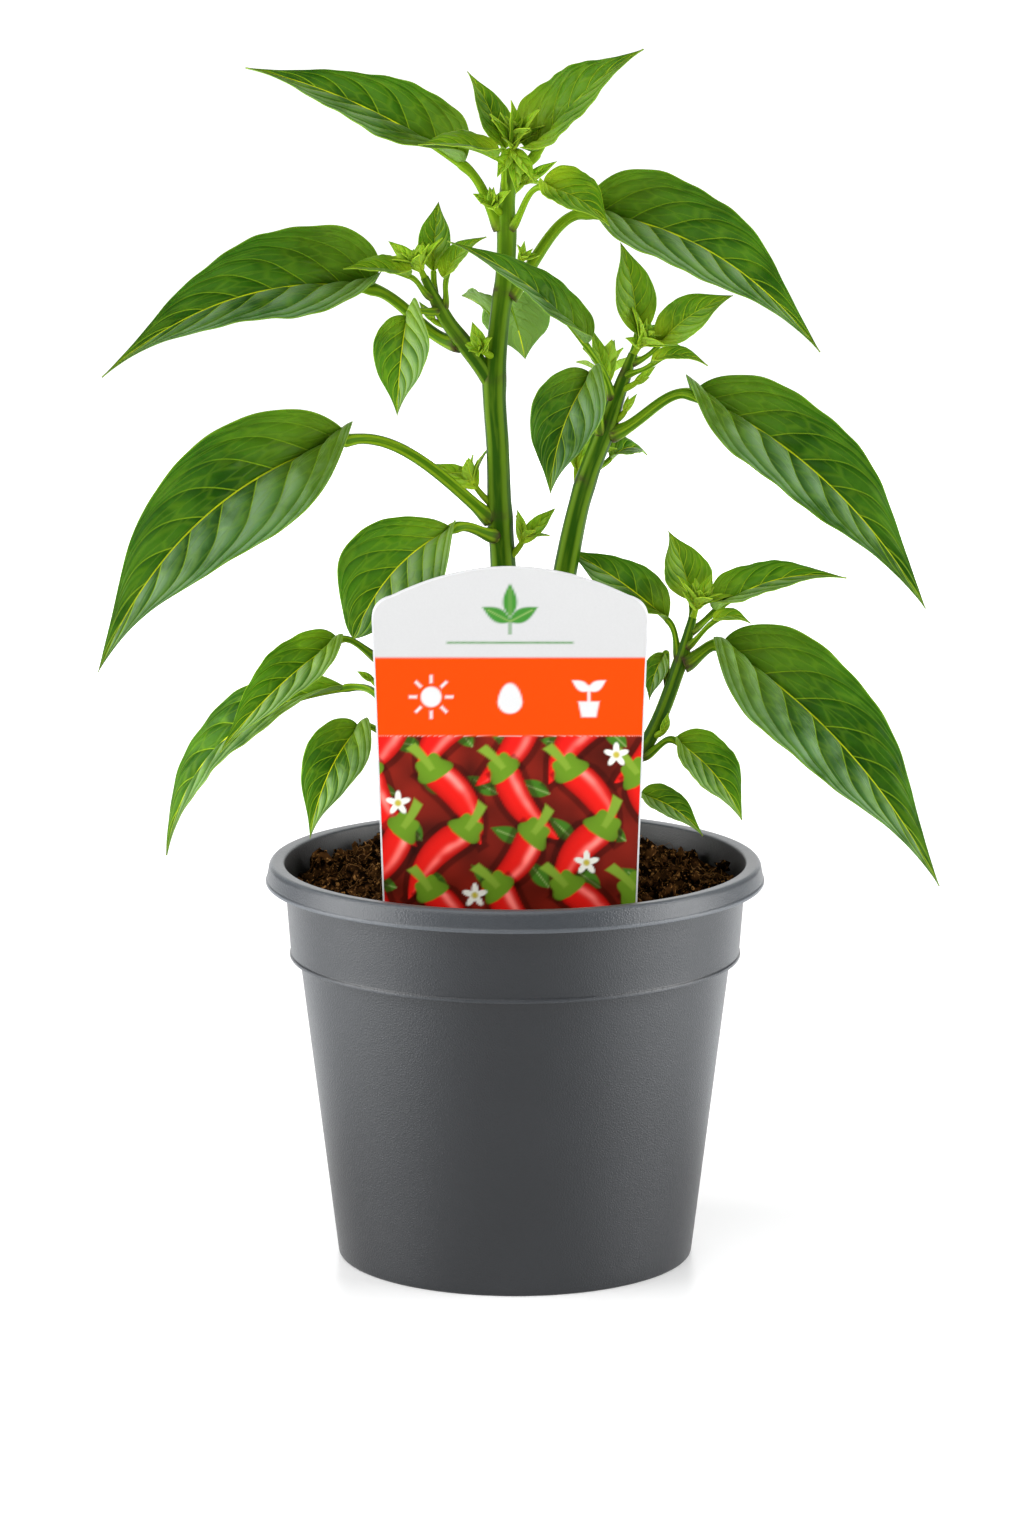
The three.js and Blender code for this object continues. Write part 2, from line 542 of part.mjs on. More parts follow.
// The stalk starts square to its stem, rises, curves over to the blade, and runs on under it as its rib.
function petioleSolid(leaf, foot, way, along, sides) {
  const reach = foot.distanceTo(leaf.base);
  const { tangent } = midrib(leaf, 0);
  const start = way.clone().multiplyScalar(Math.cos(leaf.rise)).addScaledVector(along, Math.sin(leaf.rise));
  const curve = new THREE.CubicBezierCurve3(
    foot,
    foot.clone().addScaledVector(start, 0.35 * reach),
    leaf.base.clone().addScaledVector(tangent, -0.35 * reach),
    leaf.base,
  );
  const steps = reach > 14 ? 5 : 3;
  const thick = THREE.MathUtils.clamp(leaf.width / 24, 0.55, 1.3);
  const points = curve.getPoints(steps);
  const radii = points.map((_, i) => thick * (1.15 - (0.25 * i) / steps));
  for (const u of [0.12, 0.34]) {
    const { place } = midrib(leaf, u);
    points.push(place.addScaledVector(bladeNormal(leaf, u, 0), -0.25));
    radii.push(thick * (0.85 - 1.3 * u));
  }
  return solidFrom(taperedTube(points, radii, sides, way));
}

// A row of the table with its habit filled in. facing is the way that the blade's upper side looks.
function placedLeaf(row) {
  const leaf = { ...HABIT, ...row, base: vector(row.base), tip: vector(row.tip) };
  for (const angle of ["tilt", "fold", "cup", "rise"]) leaf[angle] = THREE.MathUtils.degToRad(leaf[angle]);
  const along = leaf.tip.clone().sub(leaf.base).normalize();
  leaf.facing = vector(FRONT).multiplyScalar(Math.cos(leaf.tilt))
    .addScaledVector(squareTo(along, new THREE.Vector3(0, 0, 1)), Math.sin(leaf.tilt));
  return leaf;
}

function leafSolid(row) {
  const leaf = placedLeaf(row);
  const { centre, radius, along } = stemAtHeight(row.stem, row.at);
  const way = squareTo(along, leaf.base.clone().sub(centre));
  const foot = centre.addScaledVector(way, radius + CLEARANCE);
  const [rows, columns] = row.width > 20 ? [8, 4] : row.width > 9 ? [6, 4] : [5, 2];
  return bladeSolid(leaf, rows, columns).add(petioleSolid(leaf, foot, way, along, row.width > 20 ? 6 : 5));
}

// ---------------------------------------------------------------- shoots

// A leaflet is a small leaf whose base is sunk in the shoot's axis. Its upper side faces the axis.
function leafletSolid(base, tip, width, axis) {
  const along = tip.clone().sub(base).normalize();
  const leaf = { ...HABIT, base, tip, facing: squareTo(along, axis), width, lift: 0, tilt: 0, fold: 0.4, cup: 0.8 };
  return bladeSolid(leaf, width > 3.2 ? 4 : 3, 2);
}

function shootSolid(row) {
  const { centre, radius, along } = row.at ? stemAtHeight(row.stem, row.at) : stemPlace(row.stem, 1);
  const way = row.at ? squareTo(along, vector(row.way)) : along;
  const foot = centre.addScaledVector(way, CLEARANCE + (row.at ? radius : 0));
  const end = vector(row.end);
  const middle = foot.clone().lerp(end, 0.5).addScaledVector(way, 0.4);
  const axis = end.clone().sub(middle).normalize();
  let shoot = solidFrom(taperedTube([foot, middle, end], [0.9, 0.8, 0.7], 5, way));
  for (const [x, y, z, width] of row.leaflets) {
    shoot = shoot.add(leafletSolid(middle.clone().lerp(end, 0.4), new THREE.Vector3(x, y, z), width, axis));
  }
  const across = squareTo(axis, new THREE.Vector3(1, 0.2, 0.1));
  const other = new THREE.Vector3().crossVectors(axis, across);
  for (let k = 0; k < row.bud; k++) {
    const tilt = THREE.MathUtils.degToRad(50 - (34 * k) / row.bud);
    const length = row.budLength * (1 - (0.45 * k) / row.bud);
    const outwards = across.clone().multiplyScalar(Math.cos(GOLDEN_ANGLE * k))
      .addScaledVector(other, Math.sin(GOLDEN_ANGLE * k));
    const way = axis.clone().multiplyScalar(Math.cos(tilt)).addScaledVector(outwards, Math.sin(tilt));
    const base = end.clone().addScaledVector(axis, -0.5);
    shoot = shoot.add(leafletSolid(base, base.clone().addScaledVector(way, length), 0.4 * length, axis));
  }
  return shoot;
}

// ---------------------------------------------------------------- the plant

const plant = new THREE.Group();
plant.name = "potted_chilli_plant";

function addPiece(name, solid, color, roughness) {
  const mesh = new THREE.Mesh(geometryFrom(solid), new THREE.MeshStandardMaterial({ color, roughness, metalness: 0 }));
  mesh.name = name;
  plant.add(mesh);
}

addPiece("pot", pot(), COLOUR.pot, 0.5);
addPiece("soil", soil(), COLOUR.soil, 0.95);
addPiece("label", labelSolid(0), COLOUR.label, 0.35);
addPiece("stems", stems(), COLOUR.stem, 0.45);
for (const [name, row] of Object.entries(LEAVES)) {
  addPiece("leaf_" + name, leafSolid(row), row.young ? COLOUR.young : COLOUR.leaf, 0.4);
}
for (const [name, row] of Object.entries(SHOOTS)) {
  addPiece(name, shootSolid(row), COLOUR.young, 0.45);
}

export default plant;
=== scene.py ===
"""A young chilli pepper plant in a nursery pot, with a picture label in its soil, on a pale studio floor.

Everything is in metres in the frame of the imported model: +Z up, -Y the side that the label faces, and the
origin on the surface under the pot. Shapes are worked out in millimetres and scaled once, where they become
meshes.
"""

import logging
import math
from dataclasses import dataclass, field
from enum import Enum
from typing import Any, Callable, Mapping, Optional, Sequence, Union

import bpy
import numpy as np
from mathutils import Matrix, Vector


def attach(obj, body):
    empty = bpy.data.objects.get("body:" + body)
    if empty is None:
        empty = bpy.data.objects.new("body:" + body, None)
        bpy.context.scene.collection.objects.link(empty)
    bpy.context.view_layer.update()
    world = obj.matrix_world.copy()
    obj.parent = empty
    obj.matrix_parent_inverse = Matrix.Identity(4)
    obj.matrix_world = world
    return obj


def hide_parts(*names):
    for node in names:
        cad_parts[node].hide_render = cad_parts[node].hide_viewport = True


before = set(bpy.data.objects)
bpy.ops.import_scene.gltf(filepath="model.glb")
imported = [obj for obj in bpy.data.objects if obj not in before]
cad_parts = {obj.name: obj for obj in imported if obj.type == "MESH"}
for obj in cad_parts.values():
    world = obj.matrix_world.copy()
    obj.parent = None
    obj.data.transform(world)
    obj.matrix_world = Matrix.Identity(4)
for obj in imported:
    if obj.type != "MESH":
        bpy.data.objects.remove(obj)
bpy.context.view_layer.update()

LOG = logging.getLogger("chilli_plant")
MM = 0.001
BODY = "root"
Array = np.ndarray
Colour = tuple[float, float, float]


# ---------------------------------------------------------------- shader building


class Signal:
    """A socket that carries a number. Python's operators on it add Math nodes."""

    def __init__(self, shader: "Shader", socket: bpy.types.NodeSocket) -> None:
        """Wrap a socket of a shader."""
        self.shader = shader
        self.socket = socket

    def math(self, operation: str, *values: Union["Signal", float]) -> "Signal":
        """Add a Math node.

        Args:
            operation: the node's operation.
            values: its inputs, signals or numbers.

        Returns:
            The node's result.
        """
        node = self.shader.add("ShaderNodeMath", {"operation": operation}, dict(enumerate(values)))
        return Signal(self.shader, node.outputs[0])

    def __add__(self, other: Union["Signal", float]) -> "Signal":
        """The sum."""
        return self.math("ADD", self, other)

    __radd__ = __add__

    def __sub__(self, other: Union["Signal", float]) -> "Signal":
        """The difference."""
        return self.math("SUBTRACT", self, other)

    def __rsub__(self, other: float) -> "Signal":
        """A number less this."""
        return self.math("SUBTRACT", other, self)

    def __mul__(self, other: Union["Signal", float]) -> "Signal":
        """The product."""
        return self.math("MULTIPLY", self, other)

    __rmul__ = __mul__

    def __truediv__(self, other: Union["Signal", float]) -> "Signal":
        """The quotient."""
        return self.math("DIVIDE", self, other)

    def __pow__(self, other: float) -> "Signal":
        """This to a power."""
        return self.math("POWER", self, other)

    def __abs__(self) -> "Signal":
        """The size without the sign."""
        return self.math("ABSOLUTE", self)

    def fract(self) -> "Signal":
        """The part after the decimal point, from 0 to 1."""
        return self.math("FRACT", self)

    def cos(self) -> "Signal":
        """The cosine of this angle in radians."""
        return self.math("COSINE", self)

    def smaller(self, other: Union["Signal", float]) -> "Signal":
        """The smaller of the two."""
        return self.math("MINIMUM", self, other)

    def larger(self, other: Union["Signal", float]) -> "Signal":
        """The larger of the two."""
        return self.math("MAXIMUM", self, other)

    def above(self, other: float) -> "Signal":
        """1 where this is above a number, and 0 elsewhere."""
        return self.math("GREATER_THAN", self, other)

    def smooth(self, low: Union["Signal", float], high: Union["Signal", float]) -> "Signal":
        """A smooth step.

        Args:
            low: where it is 0.
            high: where it is 1.

        Returns:
            The step of this signal.
        """
        settings = {"interpolation_type": "SMOOTHSTEP"}
        inputs = {"Value": self, "From Min": low, "From Max": high}
        node = self.shader.add("ShaderNodeMapRange", settings, inputs)
        return Signal(self.shader, node.outputs[0])


Value = Union[Signal, float]
Paint = Union[bpy.types.NodeSocket, Colour]


class Shader:
    """A material's node tree, with one method for any node and a few for common groups of them."""

    def __init__(self, name: str) -> None:
        """Start an empty material.

        Args:
            name: the material's name.
        """
        self.material = bpy.data.materials.new(name)
        self.material.use_nodes = True
        self.tree = self.material.node_tree
        self.tree.nodes.clear()
        self._coordinates: Optional[bpy.types.NodeSocket] = None

    def add(self, kind: str, settings: Mapping[str, Any], inputs: Mapping[Any, Any]) -> bpy.types.Node:
        """Add a node of any type.

        Args:
            kind: the node's type.
            settings: its properties, which are set first.
            inputs: a value, a signal or a socket for each of its sockets, by name or number.

        Returns:
            The node.
        """
        node = self.tree.nodes.new(kind)
        for key, value in settings.items():
            setattr(node, key, value)
        for key, value in inputs.items():
            socket = node.inputs[key]
            source = value.socket if isinstance(value, Signal) else value
            if isinstance(source, bpy.types.NodeSocket):
                self.tree.links.new(source, socket)
            elif isinstance(source, tuple) and socket.type == "RGBA":
                socket.default_value = (*source, 1.0)
            else:
                socket.default_value = source
        return node

    def coordinates(self) -> bpy.types.NodeSocket:
        """The place in the object's own frame, in metres. All that read it share one node.

        Returns:
            The vector.
        """
        if self._coordinates is None:
            self._coordinates = self.add("ShaderNodeTexCoord", {}, {}).outputs["Object"]
        return self._coordinates

    def split(self, vector: bpy.types.NodeSocket) -> list[Signal]:
        """The three parts of a vector."""
        node = self.add("ShaderNodeSeparateXYZ", {}, {0: vector})
        return [Signal(self, socket) for socket in node.outputs]

    def join(self, x: Value, y: Value, z: Value) -> bpy.types.NodeSocket:
        """A vector of three parts."""
        return self.add("ShaderNodeCombineXYZ", {}, {0: x, 1: y, 2: z}).outputs[0]

    def attribute(self, name: str) -> bpy.types.NodeSocket:
        """A vector attribute of the mesh."""
        return self.add("ShaderNodeAttribute", {"attribute_name": name}, {}).outputs["Vector"]

    def noise(self, scale: float, detail: float, place: Optional[bpy.types.NodeSocket] = None) -> Signal:
        """Cloudy noise.

        Args:
            scale: its cells per metre, or per unit of the place given.
            detail: how many finer layers it has.
            place: where it is read, which is the object's own frame unless given.

        Returns:
            The noise, from 0 to 1.
        """
        inputs = {"Vector": place or self.coordinates(), "Scale": scale, "Detail": detail, "Roughness": 0.55}
        return Signal(self, self.add("ShaderNodeTexNoise", {}, inputs).outputs[0])

    def cells(self, scale: float, place: Optional[bpy.types.NodeSocket] = None) -> Signal:
        """A net of cells.

        Args:
            scale: its cells per metre, or per unit of the place given.
            place: where it is read, which is the object's own frame unless given.

        Returns:
            The distance to the nearest border, as a share of a cell.
        """
        settings = {"feature": "DISTANCE_TO_EDGE"}
        inputs = {"Vector": place or self.coordinates(), "Scale": scale}
        return Signal(self, self.add("ShaderNodeTexVoronoi", settings, inputs).outputs[0])

    def mix(self, share: Value, first: Paint, second: Paint, blend: str = "MIX") -> bpy.types.NodeSocket:
        """Mix two colours.

        Args:
            share: how much of the second.
            first: a colour.
            second: a colour.
            blend: the way of mixing.

        Returns:
            The mixed colour.
        """
        settings = {"data_type": "RGBA", "blend_type": blend, "clamp_factor": True}
        return self.add("ShaderNodeMix", settings, {0: share, 6: first, 7: second}).outputs[2]

    def bump(self, height: Signal, depth: float) -> bpy.types.NodeSocket:
        """The normal of a height from about 0 to 1, where 1 stands for a depth in metres."""
        inputs = {"Strength": 1.0, "Distance": depth, "Height": height}
        return self.add("ShaderNodeBump", {}, inputs).outputs[0]

    def finish(self, **inputs: Any) -> bpy.types.Material:
        """End with a Principled shader.

        Args:
            inputs: its sockets, with _ for the spaces in their names.

        Returns:
            The material.
        """
        named = {key.replace("_", " "): value for key, value in inputs.items()}
        shader = self.add("ShaderNodeBsdfPrincipled", {}, named)
        self.add("ShaderNodeOutputMaterial", {}, {0: shader.outputs[0]})
        return self.material


# ---------------------------------------------------------------- surfaces


def unit(vectors: Array) -> Array:
    """Vectors at length 1, along the last axis."""
    return vectors / np.maximum(np.linalg.norm(vectors, axis=-1, keepdims=True), 1e-12)


def square_to(direction: Array, vector: Array) -> Array:
    """The part of a vector that is square to a unit direction, at length 1."""
    return unit(vector - direction * np.sum(vector * direction, axis=-1, keepdims=True))


def turns(count: int) -> Array:
    """Angles that divide a full turn evenly."""
    return np.linspace(0, 2 * np.pi, count, endpoint=False)


def circles(radius: Array, height: Array, count: int) -> Array:
    """Level rings about the axis: radius times cosine and sine of each angle, and the height.

    Args:
        radius: one for each ring.
        height: one for each ring.
        count: the points around each.

    Returns:
        Rings by points around by 3.
    """
    angle = turns(count)
    x, y = np.outer(radius, np.cos(angle)), np.outer(radius, np.sin(angle))
    return np.stack([x, y, np.outer(height, np.ones(count))], -1)


def quadratic(start: Any, middle: Any, end: Any, t: Array) -> Array:
    """A quadratic Bezier arc: (1 - t)^2 start + 2 t (1 - t) middle + t^2 end."""
    return (1 - t) ** 2 * start + 2 * t * (1 - t) * middle + t**2 * end


def lengths(line: Array) -> Array:
    """How far along a line each of its points is."""
    return np.concatenate([[0], np.cumsum(np.linalg.norm(np.diff(line, axis=0), axis=1))])


def smooth_step(values: Array, low: float, high: float) -> Array:
    """0 below low, 1 above high, and 3t^2 - 2t^3 between them."""
    t = np.clip((values - low) / (high - low), 0, 1)
    return t * t * (3 - 2 * t)


def value_noise(x: Array, y: Array, cell: float, seed: int) -> Array:
    """Smooth noise on a plane: random heights at the corners of square cells, eased between them.

    Args:
        x: the first coordinate.
        y: the second coordinate.
        cell: the side of a cell, in the same unit.
        seed: the draw.

    Returns:
        The noise, from -1 to 1.
    """
    side = 64
    lattice = np.random.default_rng(seed).uniform(-1, 1, (side, side))
    fx, fy = x / cell, y / cell
    ix, iy = np.floor(fx).astype(int), np.floor(fy).astype(int)
    tx, ty = smooth_step(fx - ix, 0, 1), smooth_step(fy - iy, 0, 1)
    low, high = (
        lattice[ix % side, (iy + dy) % side] * (1 - tx) + lattice[(ix + 1) % side, (iy + dy) % side] * tx
        for dy in (0, 1)
    )
    return low * (1 - ty) + high * ty


def show(name: str, data: bpy.types.ID) -> bpy.types.Object:
    """Put an object in the scene.

    Args:
        name: its name.
        data: its mesh, camera or light.

    Returns:
        The object, at the origin.
    """
    made = bpy.data.objects.new(name, data)
    bpy.context.scene.collection.objects.link(made)
    return made


@dataclass
class Surface:
    """Points in millimetres, four-cornered faces on them, and named vectors at the points."""

    points: Array
    faces: Array
    extras: dict[str, Array] = field(default_factory=dict)

    @classmethod
    def from_rings(cls, rings: Array, **extras: Array) -> "Surface":
        """Join rings of points into a tube: face j of row i spans points j and j + 1 of rings i and i + 1,
        and strips across the first and last ring close the ends.

        Args:
            rings: rows by points around by 3, with an even number around.
            extras: named vectors, rows by points around by 3.

        Returns:
            The surface, with its faces pointing outwards.
        """
        rows, around = rings.shape[:2]
        i = (np.arange(rows - 1) * around)[:, None]
        j = np.arange(around)[None, :]
        k = (j + 1) % around
        faces = [np.stack([i + j, i + k, i + around + k, i + around + j], -1).reshape(-1, 4)]
        j = np.arange(around // 2 - 1)
        strip = np.stack([j, around - 1 - j, around - 2 - j, j + 1], -1)
        faces += [strip, strip[:, ::-1] + (rows - 1) * around]
        flat = {name: values.reshape(-1, 3) for name, values in extras.items()}
        return cls(rings.reshape(-1, 3), np.concatenate(faces), flat).outwards()

    def outwards(self) -> "Surface":
        """Turn the faces round if the volume under them, summed over each face's two triangles, is
        negative.

        Returns:
            The surface itself.
        """
        a, b, c, d = (self.points[self.faces[:, n]] for n in range(4))
        volume = np.sum(np.cross(a, b) * c) + np.sum(np.cross(a, c) * d)
        if volume < 0:
            self.faces = self.faces[:, ::-1]
        return self

    @classmethod
    def together(cls, parts: Sequence["Surface"]) -> "Surface":
        """Several surfaces as one.

        Args:
            parts: the surfaces, with the same named vectors.

        Returns:
            The one surface.
        """
        starts = np.cumsum([0] + [len(part.points) for part in parts[:-1]])
        faces = np.concatenate([part.faces + start for part, start in zip(parts, starts)])
        extras = {name: np.concatenate([part.extras[name] for part in parts]) for name in parts[0].extras}
        return cls(np.concatenate([part.points for part in parts]), faces, extras)

    def mesh(self, name: str) -> bpy.types.Mesh:
        """Make the Blender mesh, in metres.

        Args:
            name: the mesh's name.

        Returns:
            The mesh, shaded smooth.
        """
        mesh = bpy.data.meshes.new(name)
        mesh.from_pydata((self.points * MM).tolist(), [], self.faces.tolist())
        mesh.polygons.foreach_set("use_smooth", np.ones(len(mesh.polygons), bool))
        return mesh

    def piece(self, name: str, material: bpy.types.Material, slot: str, *nodes: str) -> bpy.types.Object:
        """Make the Blender object, dress it, and let it ride on the model's body.

        Args:
            name: the piece's name.
            material: its finish.
            slot: the record's material slot, which is not used.
            nodes: the CAD nodes that it stands for.

        Returns:
            The object.
        """
        mesh = self.mesh(name)
        for key, values in self.extras.items():
            attribute = mesh.attributes.new(key, "FLOAT_VECTOR", "POINT")
            attribute.data.foreach_set("vector", values.astype(np.float32).ravel())
        mesh.update()
        mesh.materials.append(material)
        made = show(name, mesh)
        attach(made, BODY)
        if nodes:
            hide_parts(*nodes)
        LOG.info("%s: %d points, %d faces", name, len(self.points), len(self.faces))
        return made


def curve_through(knots: Array, share: Array) -> tuple[Array, Array]:
    """A centripetal Catmull-Rom line: each span is a cubic whose ends pass through two knots, with slopes
    set by the knots beside them, spaced by the square root of their distance.

    Args:
        knots: points by 3.
        share: places from 0 at the first knot to 1 at the last, even from knot to knot.

    Returns:
        The points and the unit directions there.
    """
    ends = np.vstack([2 * knots[0] - knots[1], knots, 2 * knots[-1] - knots[-2]])
    place = np.clip(share, 0, 1) * (len(knots) - 1)
    i = np.minimum(place.astype(int), len(knots) - 2)
    t = (place - i)[:, None]
    before, start, end, after = (ends[i + n] for n in range(4))
    d0, d1, d2 = (
        np.maximum(np.linalg.norm(b - a, axis=1, keepdims=True) ** 0.5, 1e-4)
        for a, b in ((before, start), (start, end), (end, after))
    )
    m1 = ((start - before) / d0 - (end - before) / (d0 + d1) + (end - start) / d1) * d1
    m2 = ((end - start) / d1 - (after - start) / (d1 + d2) + (after - end) / d2) * d1
    c2, c3 = -3 * start + 3 * end - 2 * m1 - m2, 2 * start - 2 * end + m1 + m2
    point = start + m1 * t + c2 * t**2 + c3 * t**3
    return point, unit(m1 + 2 * c2 * t + 3 * c3 * t**2)


def sections(along: Array, first: Array) -> tuple[Array, Array]:
    """Two directions square to each other and to a line, which turn as little as they can along it.

    Args:
        along: unit directions of the line, points by 3.
        first: the direction that the first one starts near.

    Returns:
        The two directions at each point.
    """
    across = np.empty_like(along)
    across[0] = square_to(along[0], first)
    for n in range(1, len(along)):
        across[n] = square_to(along[n], across[n - 1])
    return across, np.cross(along, across)


def tube(line: Array, along: Array, first: Array, radii: Array, **extras: Array) -> Surface:
    """A tube about a line: each ring lies square to the line, and its points at the given radii.

    Args:
        line: its points.
        along: the line's unit directions there.
        first: the direction that the first point of the first ring lies near.
        radii: points of the line by points around, an even number.
        extras: named vectors, points of the line by points around by 3.

    Returns:
        The tube, closed at its ends.
    """
    across, other = sections(along, first)
    angle = turns(radii.shape[1])[None, :, None]
    spokes = across[:, None] * np.cos(angle) + other[:, None] * np.sin(angle)
    return Surface.from_rings(line[:, None] + spokes * radii[..., None], **extras)


def thread(line: Array, radii: Array, sides: int) -> Surface:
    """A thin round tube along a line.

    Args:
        line: its points.
        radii: its radius at each.
        sides: how many sides it has, an even number.

    Returns:
        The tube, closed at its ends.
    """
    along = unit(np.gradient(line, axis=0))
    return tube(line, along, np.array([0.31, 0.22, 0.92]), np.outer(radii, np.ones(sides)))


# ---------------------------------------------------------------- finishes


FLESH_RADIUS = (0.3, 1.0, 0.1)
BLACK = (0.0, 0.0, 0.0)


@dataclass(frozen=True)
class BladeFinish:
    """A leaf's two faces: green flesh, a net of paler veins, and a soft sheen.

    The upper face goes in clouds from deep to fresh, with a painted sheen between its veins, stronger and in
    the colour lower_sheen on its lower half, and painted shade beside each vein on its tip side. lit_vein
    colours the veins near the midrib, the margin and, by the share lit_base, the base. sheen_strength is the
    strength of the painted sheen. paler and darker multiply the colour of a leaf that stands out from the
    others.
    """

    name: str
    deep: Colour
    fresh: Colour
    sheen: Colour
    lower_sheen: Colour
    vein: Colour
    lit_vein: Colour
    midrib: Colour
    underside: Colour
    lit_base: float = 0.25
    sheen_strength: float = 0.6
    paler: Colour = (1.85, 1.7, 1.3)
    darker: Colour = (0.5, 0.58, 0.6)
    crease_shade_share: float = 0.5
    net_share: float = 0.18
    vein_share: float = 0.8
    margin_share: float = 0.75
    cloud_scale: float = 70.0
    grain_scale: float = 2600.0
    relief: float = 0.0003

    def material(self) -> bpy.types.Material:
        """Build it.

        The attribute blade holds the share of the length, the share of the half width with its side, and
        the half width in millimetres. The attribute leaf holds the length, the pairs of side veins and
        their lean. The attribute face holds 1 on the upper side, the side of the lower half, and how pale
        the leaf is, or how dark where it is below 0.

        Returns:
            The material.
        """
        shader = Shader(self.name)
        u, v, half = shader.split(shader.attribute("blade"))
        length, pairs, lean = shader.split(shader.attribute("leaf"))
        upper, near, fresh = shader.split(shader.attribute("face"))
        across = abs(v)

        # Where the veins run: side veins, painted shade beside each on its tip side, the midrib, and a net of
        # cells.
        side = v.above(0.0) * 2 - 1
        count, squeeze = VEINS.phase(u, across, side, pairs, lean, length / half.larger(1.0))
        part = count.fract()
        apart = part.smaller(1 - part) * length / pairs * squeeze
        side_vein = (1 - apart.smooth(0.03, length * 0.0018 + 0.12)) * (1 - across.smooth(0.4, 0.95))
        crease_shade = (1 - part.smooth(0.0, 0.3)) * (1 - across.smooth(0.75, 1.0))
        rib = across * half
        rib_width = (0.26 - u * 0.14) * (length * 0.008 + 0.45).smaller(1.0)
        rib_mask = (1 - rib.smooth(rib_width * 0.6, rib_width * 1.5)) * (1 - u.smooth(0.75, 0.96) * 0.85)
        net = 1 - shader.cells(1.0, shader.join(count * 1.3, rib * 0.42, length)).smooth(0.0, 0.14)
        cloud = shader.noise(self.cloud_scale, 4.0)
        grain = shader.noise(self.grain_scale, 2.0)

        # The flesh of the upper face, and the veins over it.
        flesh = shader.mix(cloud.smooth(0.3, 0.7), self.deep, self.fresh)
        # painted sheen: lighter towards the next vein, in clouds, and stronger and greyer on the lower half
        lower = (v * near).above(0.0)
        sheen_mask = (part.smooth(0.1, 0.8) * 0.8 + 0.2) * cloud.smooth(0.25, 0.6) * (lower * 0.25 + self.sheen_strength)
        flesh = shader.mix(sheen_mask, flesh, shader.mix(lower, self.sheen, self.lower_sheen))
        # painted shade on the tip side of each side vein
        shade = (self.deep[0] * 0.6, self.deep[1] * 0.6, self.deep[2])
        flesh = shader.mix(crease_shade * self.crease_shade_share, flesh, shade)
        flesh = shader.mix((1 - u.smooth(0.0, 0.4)) * self.lit_base, flesh, self.lit_vein)
        flesh = shader.mix(net * self.net_share, flesh, self.vein)
        line = shader.mix(across.smooth(0.05, 0.5), self.lit_vein, self.vein)
        above = shader.mix(side_vein * self.vein_share, flesh, line)
        above = shader.mix(across.smooth(0.965, 1.0) * self.margin_share, above, self.lit_vein)

        # Both faces, the midrib, and the leaf's own tone.
        below = shader.mix(side_vein * 0.5, self.underside, self.vein)
        colour = shader.mix(rib_mask, shader.mix(upper, below, above), self.midrib)
        colour = shader.mix(fresh, colour, self.paler, "MULTIPLY")
        colour = shader.mix(0 - fresh, colour, self.darker, "MULTIPLY")
        height = grain * 0.2 - side_vein * 0.5 - net * 0.3 + rib_mask * 0.5
        return shader.finish(
            Base_Color=colour,
            Roughness=grain * 0.12 + cloud * 0.12 + 0.24,
            Normal=shader.bump(height, self.relief),
            Specular_IOR_Level=0.06,
            Subsurface_Weight=0.12,
            Subsurface_Radius=FLESH_RADIUS,
            Subsurface_Scale=0.0015,
        )


@dataclass(frozen=True)
class StalkFinish:
    """The skin of a stem or leaf stalk: green with a painted sheen on its ridges and in streaks along it, and
    dark marks at its nodes. It turns to the young colour between the two heights of ripening, in millimetres."""

    name: str
    deep: Colour
    ridge_sheen: Colour
    young: Colour
    mark: Colour
    ripening: tuple[float, float]
    mottle_scale: float = 420.0
    relief: float = 0.00008

    def material(self) -> bpy.types.Material:
        """Build it. The attribute stalk holds the distance along it, the turn around it and the node's
        mark.

        Returns:
            The material.
        """
        shader = Shader(self.name)
        length, turn, node = shader.split(shader.attribute("stalk"))
        streak = shader.noise(6.0, 3.0, shader.join(turn * 2.2, length * 0.012, 0.0))
        ridge_sheen = (turn * (2 * math.pi * STEM_RIDGES)).cos() * 0.5 + 0.5
        _, _, height = shader.split(shader.coordinates())
        young = height.smooth(self.ripening[0] * MM, self.ripening[1] * MM)
        mottle = shader.noise(self.mottle_scale, 3.0)
        # painted sheen along the ridges, and in the streaks along the stalk
        colour = shader.mix(ridge_sheen.smooth(0.35, 0.95) * 0.75, self.deep, self.ridge_sheen)
        colour = shader.mix(streak.smooth(0.45, 0.7) * 0.35, colour, self.ridge_sheen)
        colour = shader.mix(young * 0.6, colour, self.young)
        colour = shader.mix(node * mottle.smooth(0.3, 0.6), colour, self.mark)
        return shader.finish(
            Base_Color=colour,
            Roughness=mottle * 0.15 + 0.32,
            Specular_IOR_Level=0.05,
            Normal=shader.bump(streak * 0.5 + mottle * 0.3, self.relief),
            Subsurface_Weight=0.08,
            Subsurface_Radius=FLESH_RADIUS,
            Subsurface_Scale=0.001,
        )


